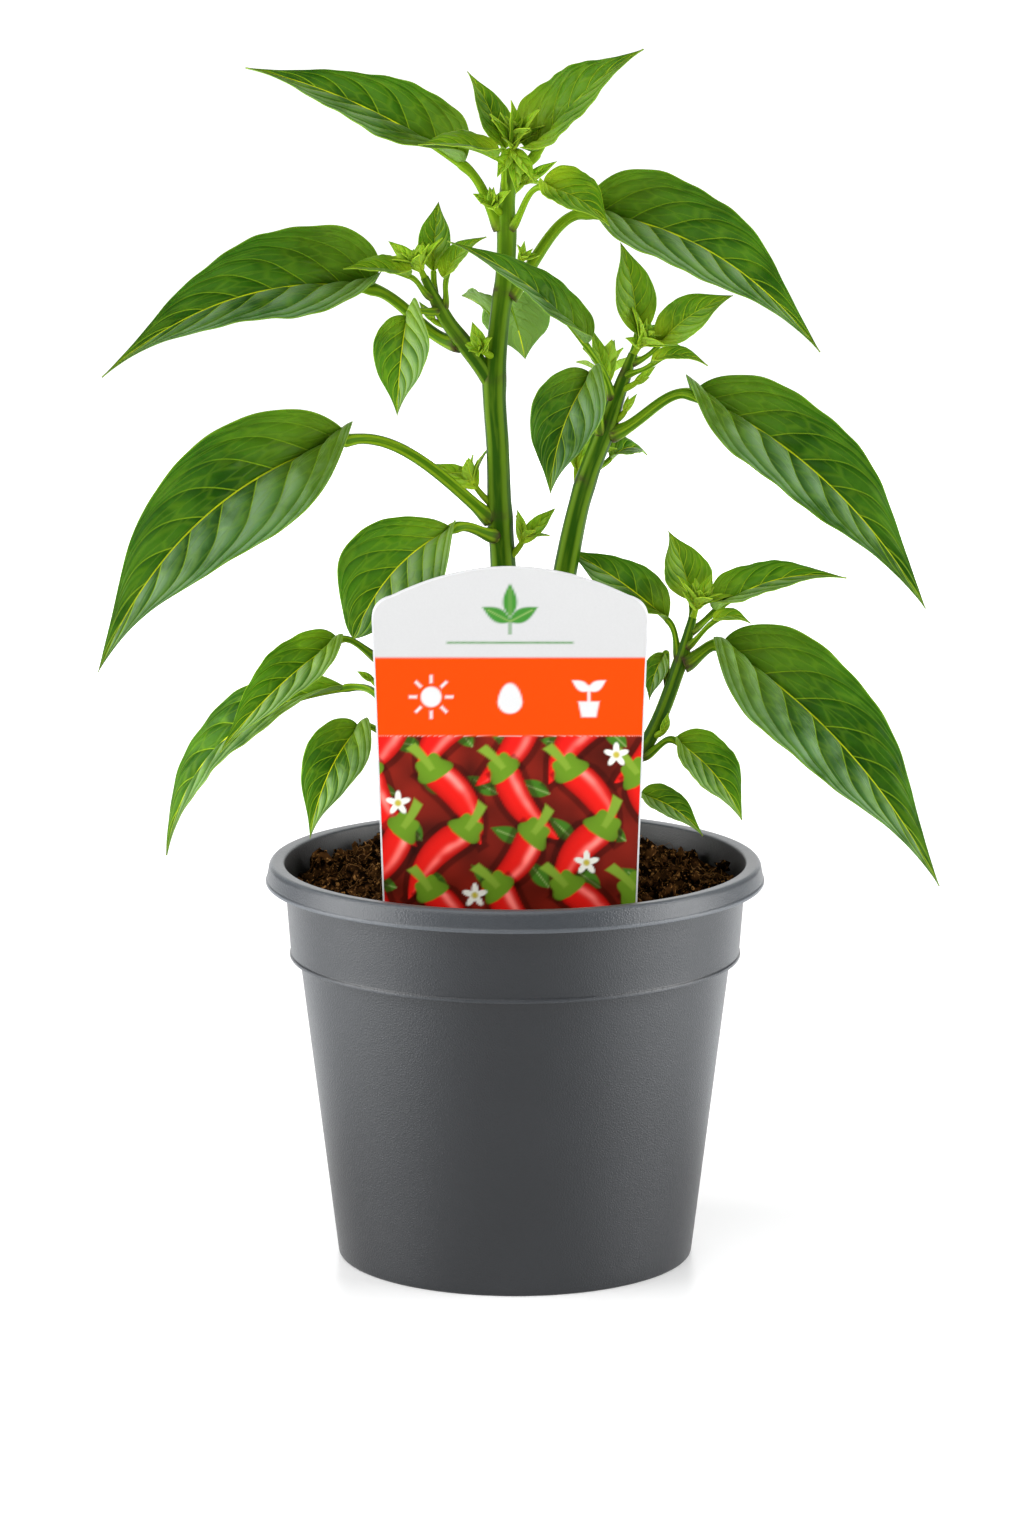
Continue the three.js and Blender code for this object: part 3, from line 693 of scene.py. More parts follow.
@dataclass(frozen=True)
class PotFinish:
    """Moulded dark blue-grey plastic with a fine leathery grain and a dull shine, with a painted highlight on
    the rim and in lines at its edges, and painted shade inside.

    lips and edges give heights in metres with how strong the painted highlight is there: above a lip's second
    height, and at an edge.
    """

    colour: Colour = (0.005, 0.0065, 0.009)
    worn: Colour = (0.0095, 0.0115, 0.015)
    painted_highlight: Colour = (0.075, 0.084, 0.095)
    inside_shade: Colour = (0.003, 0.0026, 0.0022)
    lips: tuple[tuple[float, float, float], ...] = ((0.104, 0.1048, 0.5), (0.0992, 0.0996, 0.35))
    edges: tuple[tuple[float, float], ...] = ((0.0999, 0.5), (0.0804, 0.22))
    edge_reach: float = 0.0007
    inside_from: float = 0.085
    relief: float = 0.00006

    def material(self) -> bpy.types.Material:
        """Build it. The inside is where the radius is under that of a cone within the wall, near the rim.

        Returns:
            The material.
        """
        shader = Shader("pot_plastic")
        grain = shader.noise(1100.0, 4.0)
        pores = shader.cells(1400.0).smooth(0.0, 0.35)
        cloud = shader.noise(18.0, 3.0)
        x, y, height = shader.split(shader.coordinates())
        radius = (x * x + y * y) ** 0.5
        inside = (1 - (radius - height * 0.15).smooth(0.0444, 0.0448)) * height.above(self.inside_from)
        colour = shader.mix(cloud.smooth(0.4, 0.7) * 0.5 + grain * 0.2, self.colour, self.worn)
        # painted highlight: the rim lighter, and thin light lines at the lower edges of the rim and the
        # collar
        highlight_masks = [height.smooth(low, high) * share for low, high, share in self.lips]
        highlight_masks += [abs(height - edge).smooth(self.edge_reach, 0.0003) * share for edge, share in self.edges]
        colour = shader.mix(sum(highlight_masks) * (grain * 0.3 + 0.85), colour, self.painted_highlight)
        # painted shade over the inside wall
        colour = shader.mix(inside, colour, self.inside_shade)
        return shader.finish(
            Base_Color=colour,
            Roughness=cloud * 0.08 + grain * 0.1 + inside * 0.1 + 0.28,
            Normal=shader.bump(grain * 0.7 + pores * 0.5, self.relief),
            Specular_IOR_Level=0.5,
        )


@dataclass(frozen=True)
class PeatFinish:
    """Moist peat: near-black painted shade in the hollows of its bumps, brown dry crumbs, and paler specks.
    """

    name: str
    hollow_shade: Colour
    dry: Colour
    speck: Colour
    relief: float = 0.0006

    def material(self) -> bpy.types.Material:
        """Build it.

        Returns:
            The material.
        """
        shader = Shader(self.name)
        clods = shader.noise(300.0, 5.0)
        fine = shader.noise(900.0, 4.0)
        # painted shade: near black where the bump of the clods is low
        colour = shader.mix(clods.smooth(0.44, 0.58), self.hollow_shade, self.dry)
        colour = shader.mix(fine.smooth(0.55, 0.66) * 0.75, colour, self.speck)
        return shader.finish(
            Base_Color=colour,
            Roughness=fine * 0.2 + 0.8,
            Normal=shader.bump(fine * 0.7 + clods * 0.6, self.relief),
            Specular_IOR_Level=0.0,
        )


@dataclass(frozen=True)
class CardFinish:
    """Glossy white plastic card, with clouds of painted shade that make it a little grey."""

    colour: Colour = (0.6, 0.6, 0.61)
    shade_grey: Colour = (0.56, 0.56, 0.57)

    def material(self) -> bpy.types.Material:
        """Build it.

        Returns:
            The material.
        """
        shader = Shader("label_card")
        cloud = shader.noise(300.0, 3.0)
        # painted shade in clouds
        colour = shader.mix(cloud * 0.3, self.colour, self.shade_grey)
        return shader.finish(Base_Color=colour, Roughness=cloud * 0.08 + 0.3, Specular_IOR_Level=0.5)


@dataclass(frozen=True)
class PrintFinish:
    """Ink on the card: its colour is the attribute print of the mesh, under a clear gloss."""

    speckle: float = 0.06

    def material(self) -> bpy.types.Material:
        """Build it.

        Returns:
            The material.
        """
        shader = Shader("label_print")
        ink = shader.attribute("print")
        grain = shader.noise(1800.0, 2.0)
        colour = shader.mix(grain * self.speckle, ink, BLACK)
        return shader.finish(Base_Color=colour, Roughness=grain * 0.1 + 0.3, Specular_IOR_Level=0.06)


@dataclass(frozen=True)
class FloorFinish:
    """A pale, slightly glossy studio floor, lit from within far away and to both sides of the plant, with a
    dimmer gap behind each side. The pot's wall mirrors it."""

    pale: Colour = (0.82, 0.82, 0.82)
    paler: Colour = (0.86, 0.86, 0.86)
    close_glow: Colour = (0.14, 0.14, 0.14)
    far_glow: Colour = (0.8, 0.8, 0.8)
    side_glow: Colour = (1.28, 1.36, 1.43)
    gap_glow: Colour = (0.35, 0.37, 0.4)
    gap_share: float = 0.7

    def material(self) -> bpy.types.Material:
        """Build it. The sides and the gaps are sectors, by x and y over the distance from the pot's axis.

        Returns:
            The material.
        """
        shader = Shader("floor")
        cloud = shader.noise(2.0, 2.0)
        colour = shader.mix(cloud, self.pale, self.paler)
        x, y, _ = shader.split(shader.coordinates())
        away = (x * x + y * y) ** 0.5
        reach = away.larger(0.01)
        clear = away.smooth(0.1, 0.25)
        beside = (abs(x) / reach).smooth(0.36, 0.8) * clear * (1 - away.smooth(0.8, 1.5))
        behind = y / reach
        gap = behind.smooth(0.05, 0.4) * (1 - behind.smooth(0.6, 0.8)) * clear
        glow = shader.mix(away.smooth(0.05, 1.4), self.close_glow, self.far_glow)
        glow = shader.mix(beside, glow, self.side_glow)
        glow = shader.mix(gap * self.gap_share, glow, self.gap_glow)
        return shader.finish(
            Base_Color=colour,
            Roughness=0.32,
            Specular_IOR_Level=0.25,
            Emission_Color=glow,
            Emission_Strength=1.0,
        )


# ---------------------------------------------------------------- pot and soil


@dataclass
class NurseryPot:
    """A round tapered pot: a foot ring, a wall that steps out to a collar, and a flat-topped rim. A fine
    bead runs round the lower edges of the collar and the rim. In millimetres."""

    height: float = 105
    rim_radius: float = 65
    rim_height: float = 5.6
    rim_width: float = 4
    collar_radius: float = 60
    collar_taper: float = 1.4
    step_height: float = 80
    step_depth: float = 2.3
    bead: float = 0.28
    foot_radius: float = 46.4
    wall: float = 1.3
    floor_lift: float = 2.5
    pad_radius: float = 9
    hole_count: int = 8
    hole_radius: float = 3.2
    hole_circle: float = 34
    sectors: int = 192
    longest_span: float = 4

    def profile(self) -> list[tuple[float, float, float]]:
        """The section from the axis under the floor, out and round the rim, to the axis on the floor.

        Returns:
            Corners as radius, height and the radius that rounds them.
        """
        under = self.height - self.rim_height
        step = self.collar_radius - self.collar_taper
        foot = self.foot_radius
        return [
            # the round pad under the floor, the floor, and the foot ring
            (0.0, 0.0, 0.0),
            (self.pad_radius, 0.0, 0.3),
            (self.pad_radius + 0.8, self.floor_lift, 0.3),
            (foot - 4.6, self.floor_lift, 0.4),
            (foot - 3.8, 0.0, 0.3),
            (foot, 0.0, 0.9),
            # the wall, the step out, and the collar over its bead
            (step - self.step_depth, self.step_height, 0.3),
            (step + self.bead, self.step_height, 0.3),
            (step + self.bead, self.step_height + 0.8, 0.35),
            (step, self.step_height + 1.2, 0.3),
            (self.collar_radius, under, 0.3),
            # the rim over its bead, and its flat top
            (self.rim_radius, under, 0.3),
            (self.rim_radius, under + 0.8, 0.35),
            (self.rim_radius - self.bead, under + 1.2, 0.3),
            (self.rim_radius - 0.9, self.height - 0.9, 1.0),
            (self.rim_radius - 1.6, self.height, 0.7),
            (self.rim_radius - self.rim_width - 0.8, self.height - 0.2, 0.8),
            # down the inside to the floor
            (self.collar_radius - self.wall, under - 1.4, 2.4),
            (step - self.wall, self.step_height + 2, 1.0),
            (step - self.step_depth - self.wall, self.step_height, 0.8),
            (foot - self.wall, self.floor_lift + self.wall, 1.2),
            (0.0, self.floor_lift + self.wall, 0.0),
        ]

    @staticmethod
    def rounded(corners: Sequence[tuple[float, float, float]], steps: int = 5) -> Array:
        """Round each corner of a line with a quadratic arc that starts and ends its radius away from it.

        Args:
            corners: x, y and rounding radius.
            steps: points in each arc.

        Returns:
            The points, as count by 2.
        """
        spots = np.array([corner[:2] for corner in corners])
        line = [spots[0]]
        t = np.linspace(0, 1, steps)[:, None]
        for before, here, after, corner in zip(spots, spots[1:], spots[2:], corners[1:]):
            to_before, to_after = before - here, after - here
            reach = min(corner[2], 0.45 * np.linalg.norm(to_before), 0.45 * np.linalg.norm(to_after))
            start, end = here + unit(to_before) * reach, here + unit(to_after) * reach
            line.extend(quadratic(start, here, end, t))
        line.append(spots[-1])
        return np.array(line)

    def turned(self) -> Surface:
        """The profile turned about the axis: a ring of points at each of its radii, with long spans
        divided.

        Returns:
            The pot, without its drain holes.
        """
        line = self.rounded(self.profile())
        fine = [line[0]]
        for start, end in zip(line, line[1:]):
            spans = max(1, int(np.linalg.norm(end - start) / self.longest_span))
            fine.extend(start + (end - start) * k / spans for k in range(1, spans + 1))
        radius, height = np.array(fine).T
        return Surface.from_rings(circles(np.maximum(radius, 0.05), height, self.sectors))

    def drills(self) -> bpy.types.Object:
        """A closed pin through the floor at each drain hole.

        Returns:
            All the pins as one object.
        """
        pin = circles(np.full(2, self.hole_radius), np.array([-3.0, self.floor_lift + 6.5]), 24)
        pins = []
        for k in range(self.hole_count):
            turn = 2 * np.pi * (k + 0.5) / self.hole_count
            spot = self.hole_circle * np.array([np.cos(turn), np.sin(turn), 0.0])
            pins.append(Surface.from_rings(pin + spot))
        return show("drain_pins", Surface.together(pins).mesh("drain_pins"))

    def build(self) -> None:
        """Make the pot, and cut its drain holes."""
        pot = self.turned().piece("nursery_pot", PotFinish().material(), "pot_plastic", "pot")
        tool = self.drills()
        cut = pot.modifiers.new("drain_holes", "BOOLEAN")
        cut.operation = "DIFFERENCE"
        cut.solver = "EXACT"
        cut.object = tool
        bpy.context.view_layer.update()
        solid = bpy.data.meshes.new_from_object(pot.evaluated_get(bpy.context.evaluated_depsgraph_get()))
        pot.modifiers.remove(cut)
        pot.data = solid
        bpy.data.objects.remove(tool)
        LOG.info("nursery_pot: %d drain holes", self.hole_count)


@dataclass
class PottingSoil:
    """Peat that fills the pot to just under its rim, with loose crumbs and root fibres on top. In
    millimetres."""

    pot: NurseryPot
    level: float = 96.9
    lump: float = 1.7
    clearance: float = 0.3
    spread: float = 57.0
    rings: int = 120
    sectors: int = 300
    crumbs: int = 1500
    fibres: int = 560
    seed: int = 7
    peat: PeatFinish = PeatFinish(
        "peat",
        hollow_shade=(0.002, 0.001, 0.0005),
        dry=(0.026, 0.011, 0.004),
        speck=(0.16, 0.07, 0.02),
    )
    crumb: PeatFinish = PeatFinish(
        "peat_crumb",
        hollow_shade=(0.004, 0.002, 0.001),
        dry=(0.06, 0.025, 0.008),
        speck=(0.38, 0.18, 0.055),
    )
    fibre: PeatFinish = PeatFinish(
        "peat_fibre",
        hollow_shade=(0.06, 0.026, 0.008),
        dry=(0.18, 0.085, 0.03),
        speck=(0.3, 0.16, 0.07),
    )

    def top(self, x: Array, y: Array) -> Array:
        """The height of the soil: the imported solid's crossed waves, a low mound at the back, a dip before
        the label, and four layers of finer noise, of which two are folded so that they make clods with
        sharp hollows.

        Args:
            x: across.
            y: away from the label's side.

        Returns:
            The height.
        """
        broad = np.sin(0.16 * x + 0.7) * np.cos(0.19 * y - 0.4)
        clods = np.sin(0.55 * x - 0.3 * y) * np.cos(0.47 * y + 0.21 * x + 1)
        waves = self.lump * (0.55 * broad + 0.75 * clods)
        folded = 2.6 * (0.5 - abs(value_noise(x, y, 7.0, 1))) + 2.0 * (0.5 - abs(value_noise(x, y, 3.6, 2)))
        fine = 0.7 * value_noise(x, y, 1.7, 3) + 0.35 * value_noise(x, y, 0.8, 4)
        mound = 2.2 * np.exp(-((x + 20) ** 2 + (y - 22) ** 2) / 800) + 1.8 * smooth_step(y, -10, 40)
        dip = 2.6 * smooth_step(-y, 26, 38)
        return self.level + waves * 0.9 + folded + fine + (mound - dip) + 0.2

    def inner_wall(self) -> Array:
        """The pot's inside, from the rim down, as radius and height, drawn in by the clearance."""
        corners = np.array([corner[:2] for corner in self.pot.profile()])[-5:-1]
        return corners - np.array([self.clearance, 0.0])

    def plug(self) -> Surface:
        """The body: rings out over the top, which evens out at the wall, and down the wall to the floor.

        Returns:
            The body.
        """
        wall = self.inner_wall()
        edge = wall[0][0] - 0.5
        radius = np.maximum(np.linspace(0, edge, self.rings), 0.05)
        top = circles(radius, 0 * radius, self.sectors)
        near = smooth_step(radius / edge, 0.95, 1.0)[:, None]
        top[..., 2] = self.top(top[..., 0], top[..., 1]) * (1 - near) + (self.level + 1.0) * near
        sides = np.array([(wall[0][0], self.level - 1.5), *wall[1:], (0.05, wall[-1][1] + self.clearance)])
        down = circles(sides[:, 0], sides[:, 1] + self.clearance, self.sectors)
        return Surface.from_rings(np.concatenate([top, down]))

    def spots(self, count: int, rng: np.random.Generator) -> tuple[Array, Array]:
        """Random places on the soil, even over its area and clear of the wall.

        Args:
            count: how many.
            rng: what draws them.

        Returns:
            x and y of the places.
        """
        radius = self.spread * np.sqrt(rng.uniform(0, 1, count))
        angle = rng.uniform(0, 2 * np.pi, count)
        return radius * np.cos(angle), radius * np.sin(angle)

    def crumb_heap(self) -> Surface:
        """Loose crumbs: rings of a sphere, with each radius changed by a random share and stretched each
        way.

        Returns:
            All the crumbs.
        """
        rng = np.random.default_rng(self.seed)
        x, y = self.spots(self.crumbs, rng)
        size = 0.45 + 2.2 * rng.uniform(0, 1, self.crumbs) ** 4
        polar = np.linspace(0.15, np.pi - 0.15, 5)
        ball = circles(np.sin(polar), np.cos(polar), 6)
        heap = []
        for n in range(self.crumbs):
            bumps = rng.uniform(0.55, 1.3, ball.shape[:2])[..., None]
            stretch = rng.uniform(0.6, 1.3, 3)
            centre = np.array([x[n], y[n], self.top(x[n], y[n]) + 0.25 * size[n]])
            heap.append(Surface.from_rings(ball * bumps * stretch * size[n] + centre))
        return Surface.together(heap)

    def fibre_web(self) -> Surface:
        """Root fibres: thin tubes that wander in heading by small random turns, and hug the soil.

        Returns:
            All the fibres.
        """
        rng = np.random.default_rng(self.seed + 1)
        x, y = self.spots(self.fibres, rng)
        web = []
        for n in range(self.fibres):
            steps = rng.integers(6, 12)
            heading = rng.uniform(0, 2 * np.pi) + np.cumsum(rng.normal(0, 0.6, steps))
            stride = rng.uniform(0.5, 1.2)
            px = x[n] + np.cumsum(stride * np.cos(heading))
            py = y[n] + np.cumsum(stride * np.sin(heading))
            inside = np.minimum(1, self.spread / np.hypot(px, py))
            px, py = px * inside, py * inside
            lift = 0.3 + 0.9 * np.sin(np.linspace(0.2, np.pi, steps)) * rng.uniform(0, 1)
            line = np.stack([px, py, self.top(px, py) + lift], -1)
            web.append(thread(line, np.linspace(0.11, 0.04, steps) * rng.uniform(0.7, 1.6), 6))
        return Surface.together(web)

    def build(self) -> None:
        """Make the plug, the crumbs and the fibres."""
        self.plug().piece("soil_plug", self.peat.material(), "soil", "soil")
        self.crumb_heap().piece("soil_crumbs", self.crumb.material(), "soil")
        self.fibre_web().piece("soil_fibres", self.fibre.material(), "soil")


# ---------------------------------------------------------------- label


class Zone(Enum):
    """The three printed zones of the label, by the height where each one starts, in millimetres."""

    PICTURE = 97.0
    BAND = 144.3
    HEAD = 164.6


@dataclass
class Canvas:
    """A grid of inks over part of the label, painted by shapes given as signed distances. In
    millimetres."""

    x: Array
    z: Array
    ink: Array
    blur: float = 0.35

    def lay(self, distance: Array, ink: Union[Array, Colour], strength: float = 1.0) -> None:
        """Paint a shape.

        Args:
            distance: how far each point is outside the shape, negative inside.
            ink: the colour, or one for each point.
            strength: how much the ink covers.
        """
        cover = strength * (1 - smooth_step(distance, -self.blur, self.blur))[..., None]
        self.ink[:] = self.ink * (1 - cover) + np.asarray(ink) * cover

    def local(self, x: float, z: float, degrees: float) -> tuple[Array, Array]:
        """Coordinates about a spot.

        Args:
            x: where the spot is across.
            z: its height.
            degrees: the angle of the first coordinate over the horizontal.

        Returns:
            The distance along that angle, and to its left.
        """
        turn = math.radians(degrees)
        dx, dz = self.x - x, self.z - z
        return dx * math.cos(turn) + dz * math.sin(turn), dz * math.cos(turn) - dx * math.sin(turn)

    def strip(self, s: Array, t: Array, length: float, half: Any, ink: Colour, strength: float = 1.0) -> None:
        """Paint a strip that runs from 0 to its length along s, with a half width across t."""
        self.lay(np.maximum(abs(t) - half, np.maximum(-s, s - length)), ink, strength)

    def pod(self, x: float, z: float, degrees: float, length: float, width: float, seed: int) -> None:
        """A red pod with a green cap: its half width is full near the cap and runs out to the tip, its
        middle line is a shallow parabola, and light falls off from a streak beside the middle.

        Args:
            x: where the cap meets the flesh.
            z: the height there.
            degrees: the way that it points.
            length: of the flesh.
            width: at its widest.
            seed: for the blotches in its shine.
        """
        s, t = self.local(x, z, degrees)
        share = np.clip(s / length, 0.001, 0.999)
        t = t - 0.1 * length * np.sin(np.pi * share) * (1 if seed % 2 else -1)
        half = width / 2 * (1 - share**2.3) ** 0.75 * (0.75 + 0.25 * smooth_step(share, 0.0, 0.15))
        outside = np.maximum(abs(t) - half, np.maximum(-s, s - length))
        self.lay(outside - 1.6, (0.02, 0.002, 0.001), 0.55)
        across = np.clip(t / np.maximum(half, 0.01), -1, 1)
        body = 0.25 + 0.75 * np.sqrt(1 - across**2)
        patch = 0.55 + 0.45 * value_noise(s + 40 * seed, t, 2.6, seed)
        shine = np.exp(-(((across - 0.4) / 0.22) ** 2)) * patch * (1 - share)
        red = np.array([0.74, 0.012, 0.008]) * body[..., None]
        self.lay(outside, red + np.array([0.75, 0.42, 0.36]) * shine[..., None])
        cap = np.hypot(s * 1.15, t) - width * (0.5 + 0.07 * np.cos(5 * np.arctan2(t, s)))
        cap = np.maximum(cap, s - 0.32 * width)
        round_cap = 0.5 + 0.5 * np.sqrt(1 - np.clip(t / width * 1.8, -1, 1) ** 2)
        self.lay(cap, np.array([0.13, 0.26, 0.015]) * round_cap[..., None])
        stalk = np.maximum(abs(t + 0.02 * s**2) - (0.75 + 0.08 * abs(s)), np.maximum(s, -0.95 * width - s))
        self.lay(stalk, np.array([0.2, 0.33, 0.03]))

    def leaf(self, x: float, z: float, degrees: float, length: float, width: float, ink: Colour) -> None:
        """A leaf shape: two arcs that meet at its ends, with a paler middle line.

        Args:
            x: where it starts.
            z: the height there.
            degrees: the way that it points.
            length: from end to end.
            width: at its widest.
            ink: its colour.
        """
        s, t = self.local(x, z, degrees)
        half = width / 2 * np.sin(np.pi * np.clip(s / length, 0, 1) ** 0.8)
        self.strip(s, t, length, half, ink)
        self.strip(s, t, 0.8 * length, 0.1, (0.45, 0.55, 0.2), 0.6)

    def blossom(self, x: float, z: float, size: float) -> None:
        """A white flower of five petals about a yellow eye.

        Args:
            x: its middle.
            z: the height there.
            size: from the middle to a petal's tip.
        """
        s, t = self.local(x, z, 18)
        reach, turn = np.hypot(s, t), np.arctan2(t, s)
        self.lay(reach - size * (0.72 + 0.28 * np.cos(5 * turn)), (0.78, 0.78, 0.7))
        self.lay(reach - 0.26 * size, (0.5, 0.42, 0.05))


@dataclass
class PictureLabel:
    """A plastic card stuck in the soil: a white head with an arched top, a coloured band and a picture
    below.

    The picture and the signs are plain ones of the plant's kind. In millimetres.
    """

    top_width: float = 70
    soil_width: float = 64
    height: float = 187.95
    arch: float = 7.45
    arch_reach: float = 30
    corner: float = 5
    corner_top: float = 179.4
    shoulder: float = 174.4
    foot_tip: float = 58
    thickness: float = 0.8
    x: float = -1.3
    y: float = -35
    margin: float = 0.45
    white: float = 0.54
    orange: Colour = (0.7, 0.058, 0.0005)

    def half_width(self, z: Array) -> Array:
        """Half the card's width at a height, straight between its foot, its soil line and its shoulder.

        Args:
            z: the heights.

        Returns:
            Half the width at each.
        """
        levels = [self.foot_tip, 76, 88, self.shoulder]
        widths = [1, 13, self.soil_width / 2, self.top_width / 2]
        return np.interp(z, levels, widths)

    def top_edge(self, x: Array) -> Array:
        """The height of the top edge: a shallow parabola, and at each corner a quadratic arc that carries
        it on and turns straight down.

        Args:
            x: from the card's middle.

        Returns:
            The heights.
        """
        arch = self.height - self.arch * (x / self.arch_reach) ** 2
        t = 1 - np.sqrt(np.clip(1 - (abs(x) - self.arch_reach) / self.corner, 0, 1))
        turned = quadratic(self.height - self.arch, self.corner_top, self.shoulder, t)
        return np.where(abs(x) > self.arch_reach, turned, arch)

    def sheet(self, low: float, inset: float, rows: int, columns: int) -> tuple[Array, Array]:
        """A grid over the card's face: each column climbs from a height to the top edge, and keeps its
        share of the width at each height.

        Args:
            low: the height of the lowest row.
            inset: how far it stays inside the card's outline.
            rows: how many rows.
            columns: how many columns.

        Returns:
            x and z of the grid.
        """
        share = np.sin(np.linspace(-1, 1, columns) * np.pi / 2)[None, :]
        top = self.top_edge(share * self.top_width / 2) - inset
        z = low + (top - low) * np.linspace(0, 1, rows)[:, None]
        return share * (self.half_width(z) - inset), z

    def card(self) -> Surface:
        """The card: each ring goes across its front and back across its rear.

        Returns:
            The card.
        """
        x, z = self.sheet(self.foot_tip, 0.0, 60, 49)
        front = np.stack([x + self.x, np.full_like(x, self.y - self.thickness / 2), z], -1)
        back = front + np.array([0, self.thickness, 0])
        return Surface.from_rings(np.concatenate([front, back[:, ::-1]], axis=1))

    def paint(self, x: Array, z: Array) -> Array:
        """The inks of the printed face.

        Args:
            x: from the card's middle.
            z: the height.

        Returns:
            A colour for each point.
        """
        ink = np.full((*x.shape, 3), self.white)
        canvas = Canvas(x, z, ink)
        self.picture(canvas)
        low, high = Zone.BAND.value, Zone.HEAD.value
        ink[z > low] = self.white
        canvas.lay(abs(z - (low + high) / 2) - (high - low) / 2, self.orange)
        self.signs(canvas)
        self.sprig(canvas)
        return ink

    def picture(self, canvas: Canvas) -> None:
        """Slanted rows of pods over a dark ground, with leaves and blossoms between them.

        Args:
            canvas: what it is painted on.
        """
        shade = 0.5 + 0.5 * value_noise(canvas.x, canvas.z, 5.0, 11)
        canvas.ink[:] = np.array([0.06, 0.006, 0.003]) + np.array([0.16, 0.008, 0.004]) * shade[..., None]
        rng = np.random.default_rng(5)
        for row in range(5):
            for column in range(7):
                x, z = -42 + 13.0 * column + 6.5 * (row % 2), 105 + 12.2 * row
                canvas.leaf(x, z, 150 + rng.uniform(-25, 25), 9, 4.2, (0.05, 0.16, 0.012))
        for row in range(4):
            for column in range(6):
                x = -45 + 17.0 * column + 8.5 * (row % 2) + rng.uniform(-1, 1)
                z = 150 - 15.0 * row + rng.uniform(-1, 1)
                slant = (-56 if row % 2 else -124) + rng.uniform(-7, 7)
                canvas.pod(x, z, slant, rng.uniform(20, 24), rng.uniform(7.8, 9.2), 10 * row + column)
        for x, z in ((-28.5, 127), (19.5, 111.5), (-9, 103), (27, 139.5)):
            canvas.blossom(x, z, 3.2)

    def signs(self, canvas: Canvas) -> None:
        """Three white care signs on the band: a sun, a drop of water and a seedling in a pot.

        Args:
            canvas: what they are painted on.
        """
        middle = (Zone.BAND.value + Zone.HEAD.value) / 2
        white = (0.66, 0.66, 0.66)

        # the sun: a disc, and eight rays
        s, t = canvas.local(-20, middle, 0)
        reach, turn = np.hypot(s, t), np.arctan2(t, s)
        canvas.lay(reach - 2.6, white)
        ray = abs(np.sin(4 * turn)) * reach / 4 - 0.32
        canvas.lay(np.maximum(ray, np.maximum(3.6 - reach, reach - 5.6)), white)

        # the drop: round below, and drawn out above
        s, t = canvas.local(0, middle - 1.2, 0)
        drop = np.where(t > 0, np.hypot(s, t * 0.5) + 0.16 * t, np.hypot(s, t))
        canvas.lay(np.maximum(drop - 3.1, t - 6.6), white)

        # the seedling: a pot, a stalk and two leaves
        s, t = canvas.local(20, middle, 0)
        canvas.lay(np.maximum(abs(s) - 2.9 - 0.2 * t, abs(t + 3.2) - 2.0), white)
        canvas.lay(np.maximum(abs(s) - 0.35, abs(t - 0.6) - 2.4), white)
        for way in (32, 148):
            s, t = canvas.local(20, middle + 1.6, way)
            canvas.strip(s, t, 5, 1.25 * np.sin(np.pi * np.clip(s / 5, 0, 1) ** 0.8), white)

    def sprig(self, canvas: Canvas) -> None:
        """A small green sprig of three leaves on the white head, over a thin rule.

        Args:
            canvas: what it is painted on.
        """
        green = (0.05, 0.22, 0.03)
        canvas.lay(np.maximum(abs(canvas.x) - 0.3, abs(canvas.z - 173.2) - 2.6), green)
        for way, length in ((90, 8.5), (28, 8.0), (152, 8.0)):
            canvas.leaf(0.0, 173.8 + (1.4 if way == 90 else 0), way, length, 3.6, green)
        canvas.lay(np.maximum(abs(canvas.x) - 16, abs(canvas.z - 168.4) - 0.22), green)

    def build(self) -> None:
        """Make the card and its printed face."""
        self.card().piece("label_card", CardFinish().material(), "label_card", "label")
        x, z = self.sheet(Zone.PICTURE.value - 3, self.margin, 300, 210)
        face = np.stack([x + self.x, np.full_like(x, self.y - self.thickness / 2 - 0.03), z], -1)
        rows, columns = x.shape
        i, j = np.meshgrid(np.arange(rows - 1) * columns, np.arange(columns - 1), indexing="ij")
        faces = np.stack([i + j, i + j + 1, i + j + columns + 1, i + j + columns], -1).reshape(-1, 4)
        inks = {"print": self.paint(x, z * np.ones_like(x)).reshape(-1, 3)}
        Surface(face.reshape(-1, 3), faces, inks).piece("label_print", PrintFinish().material(), "label_card")


# ---------------------------------------------------------------- stems


STEM_RIDGES = 5


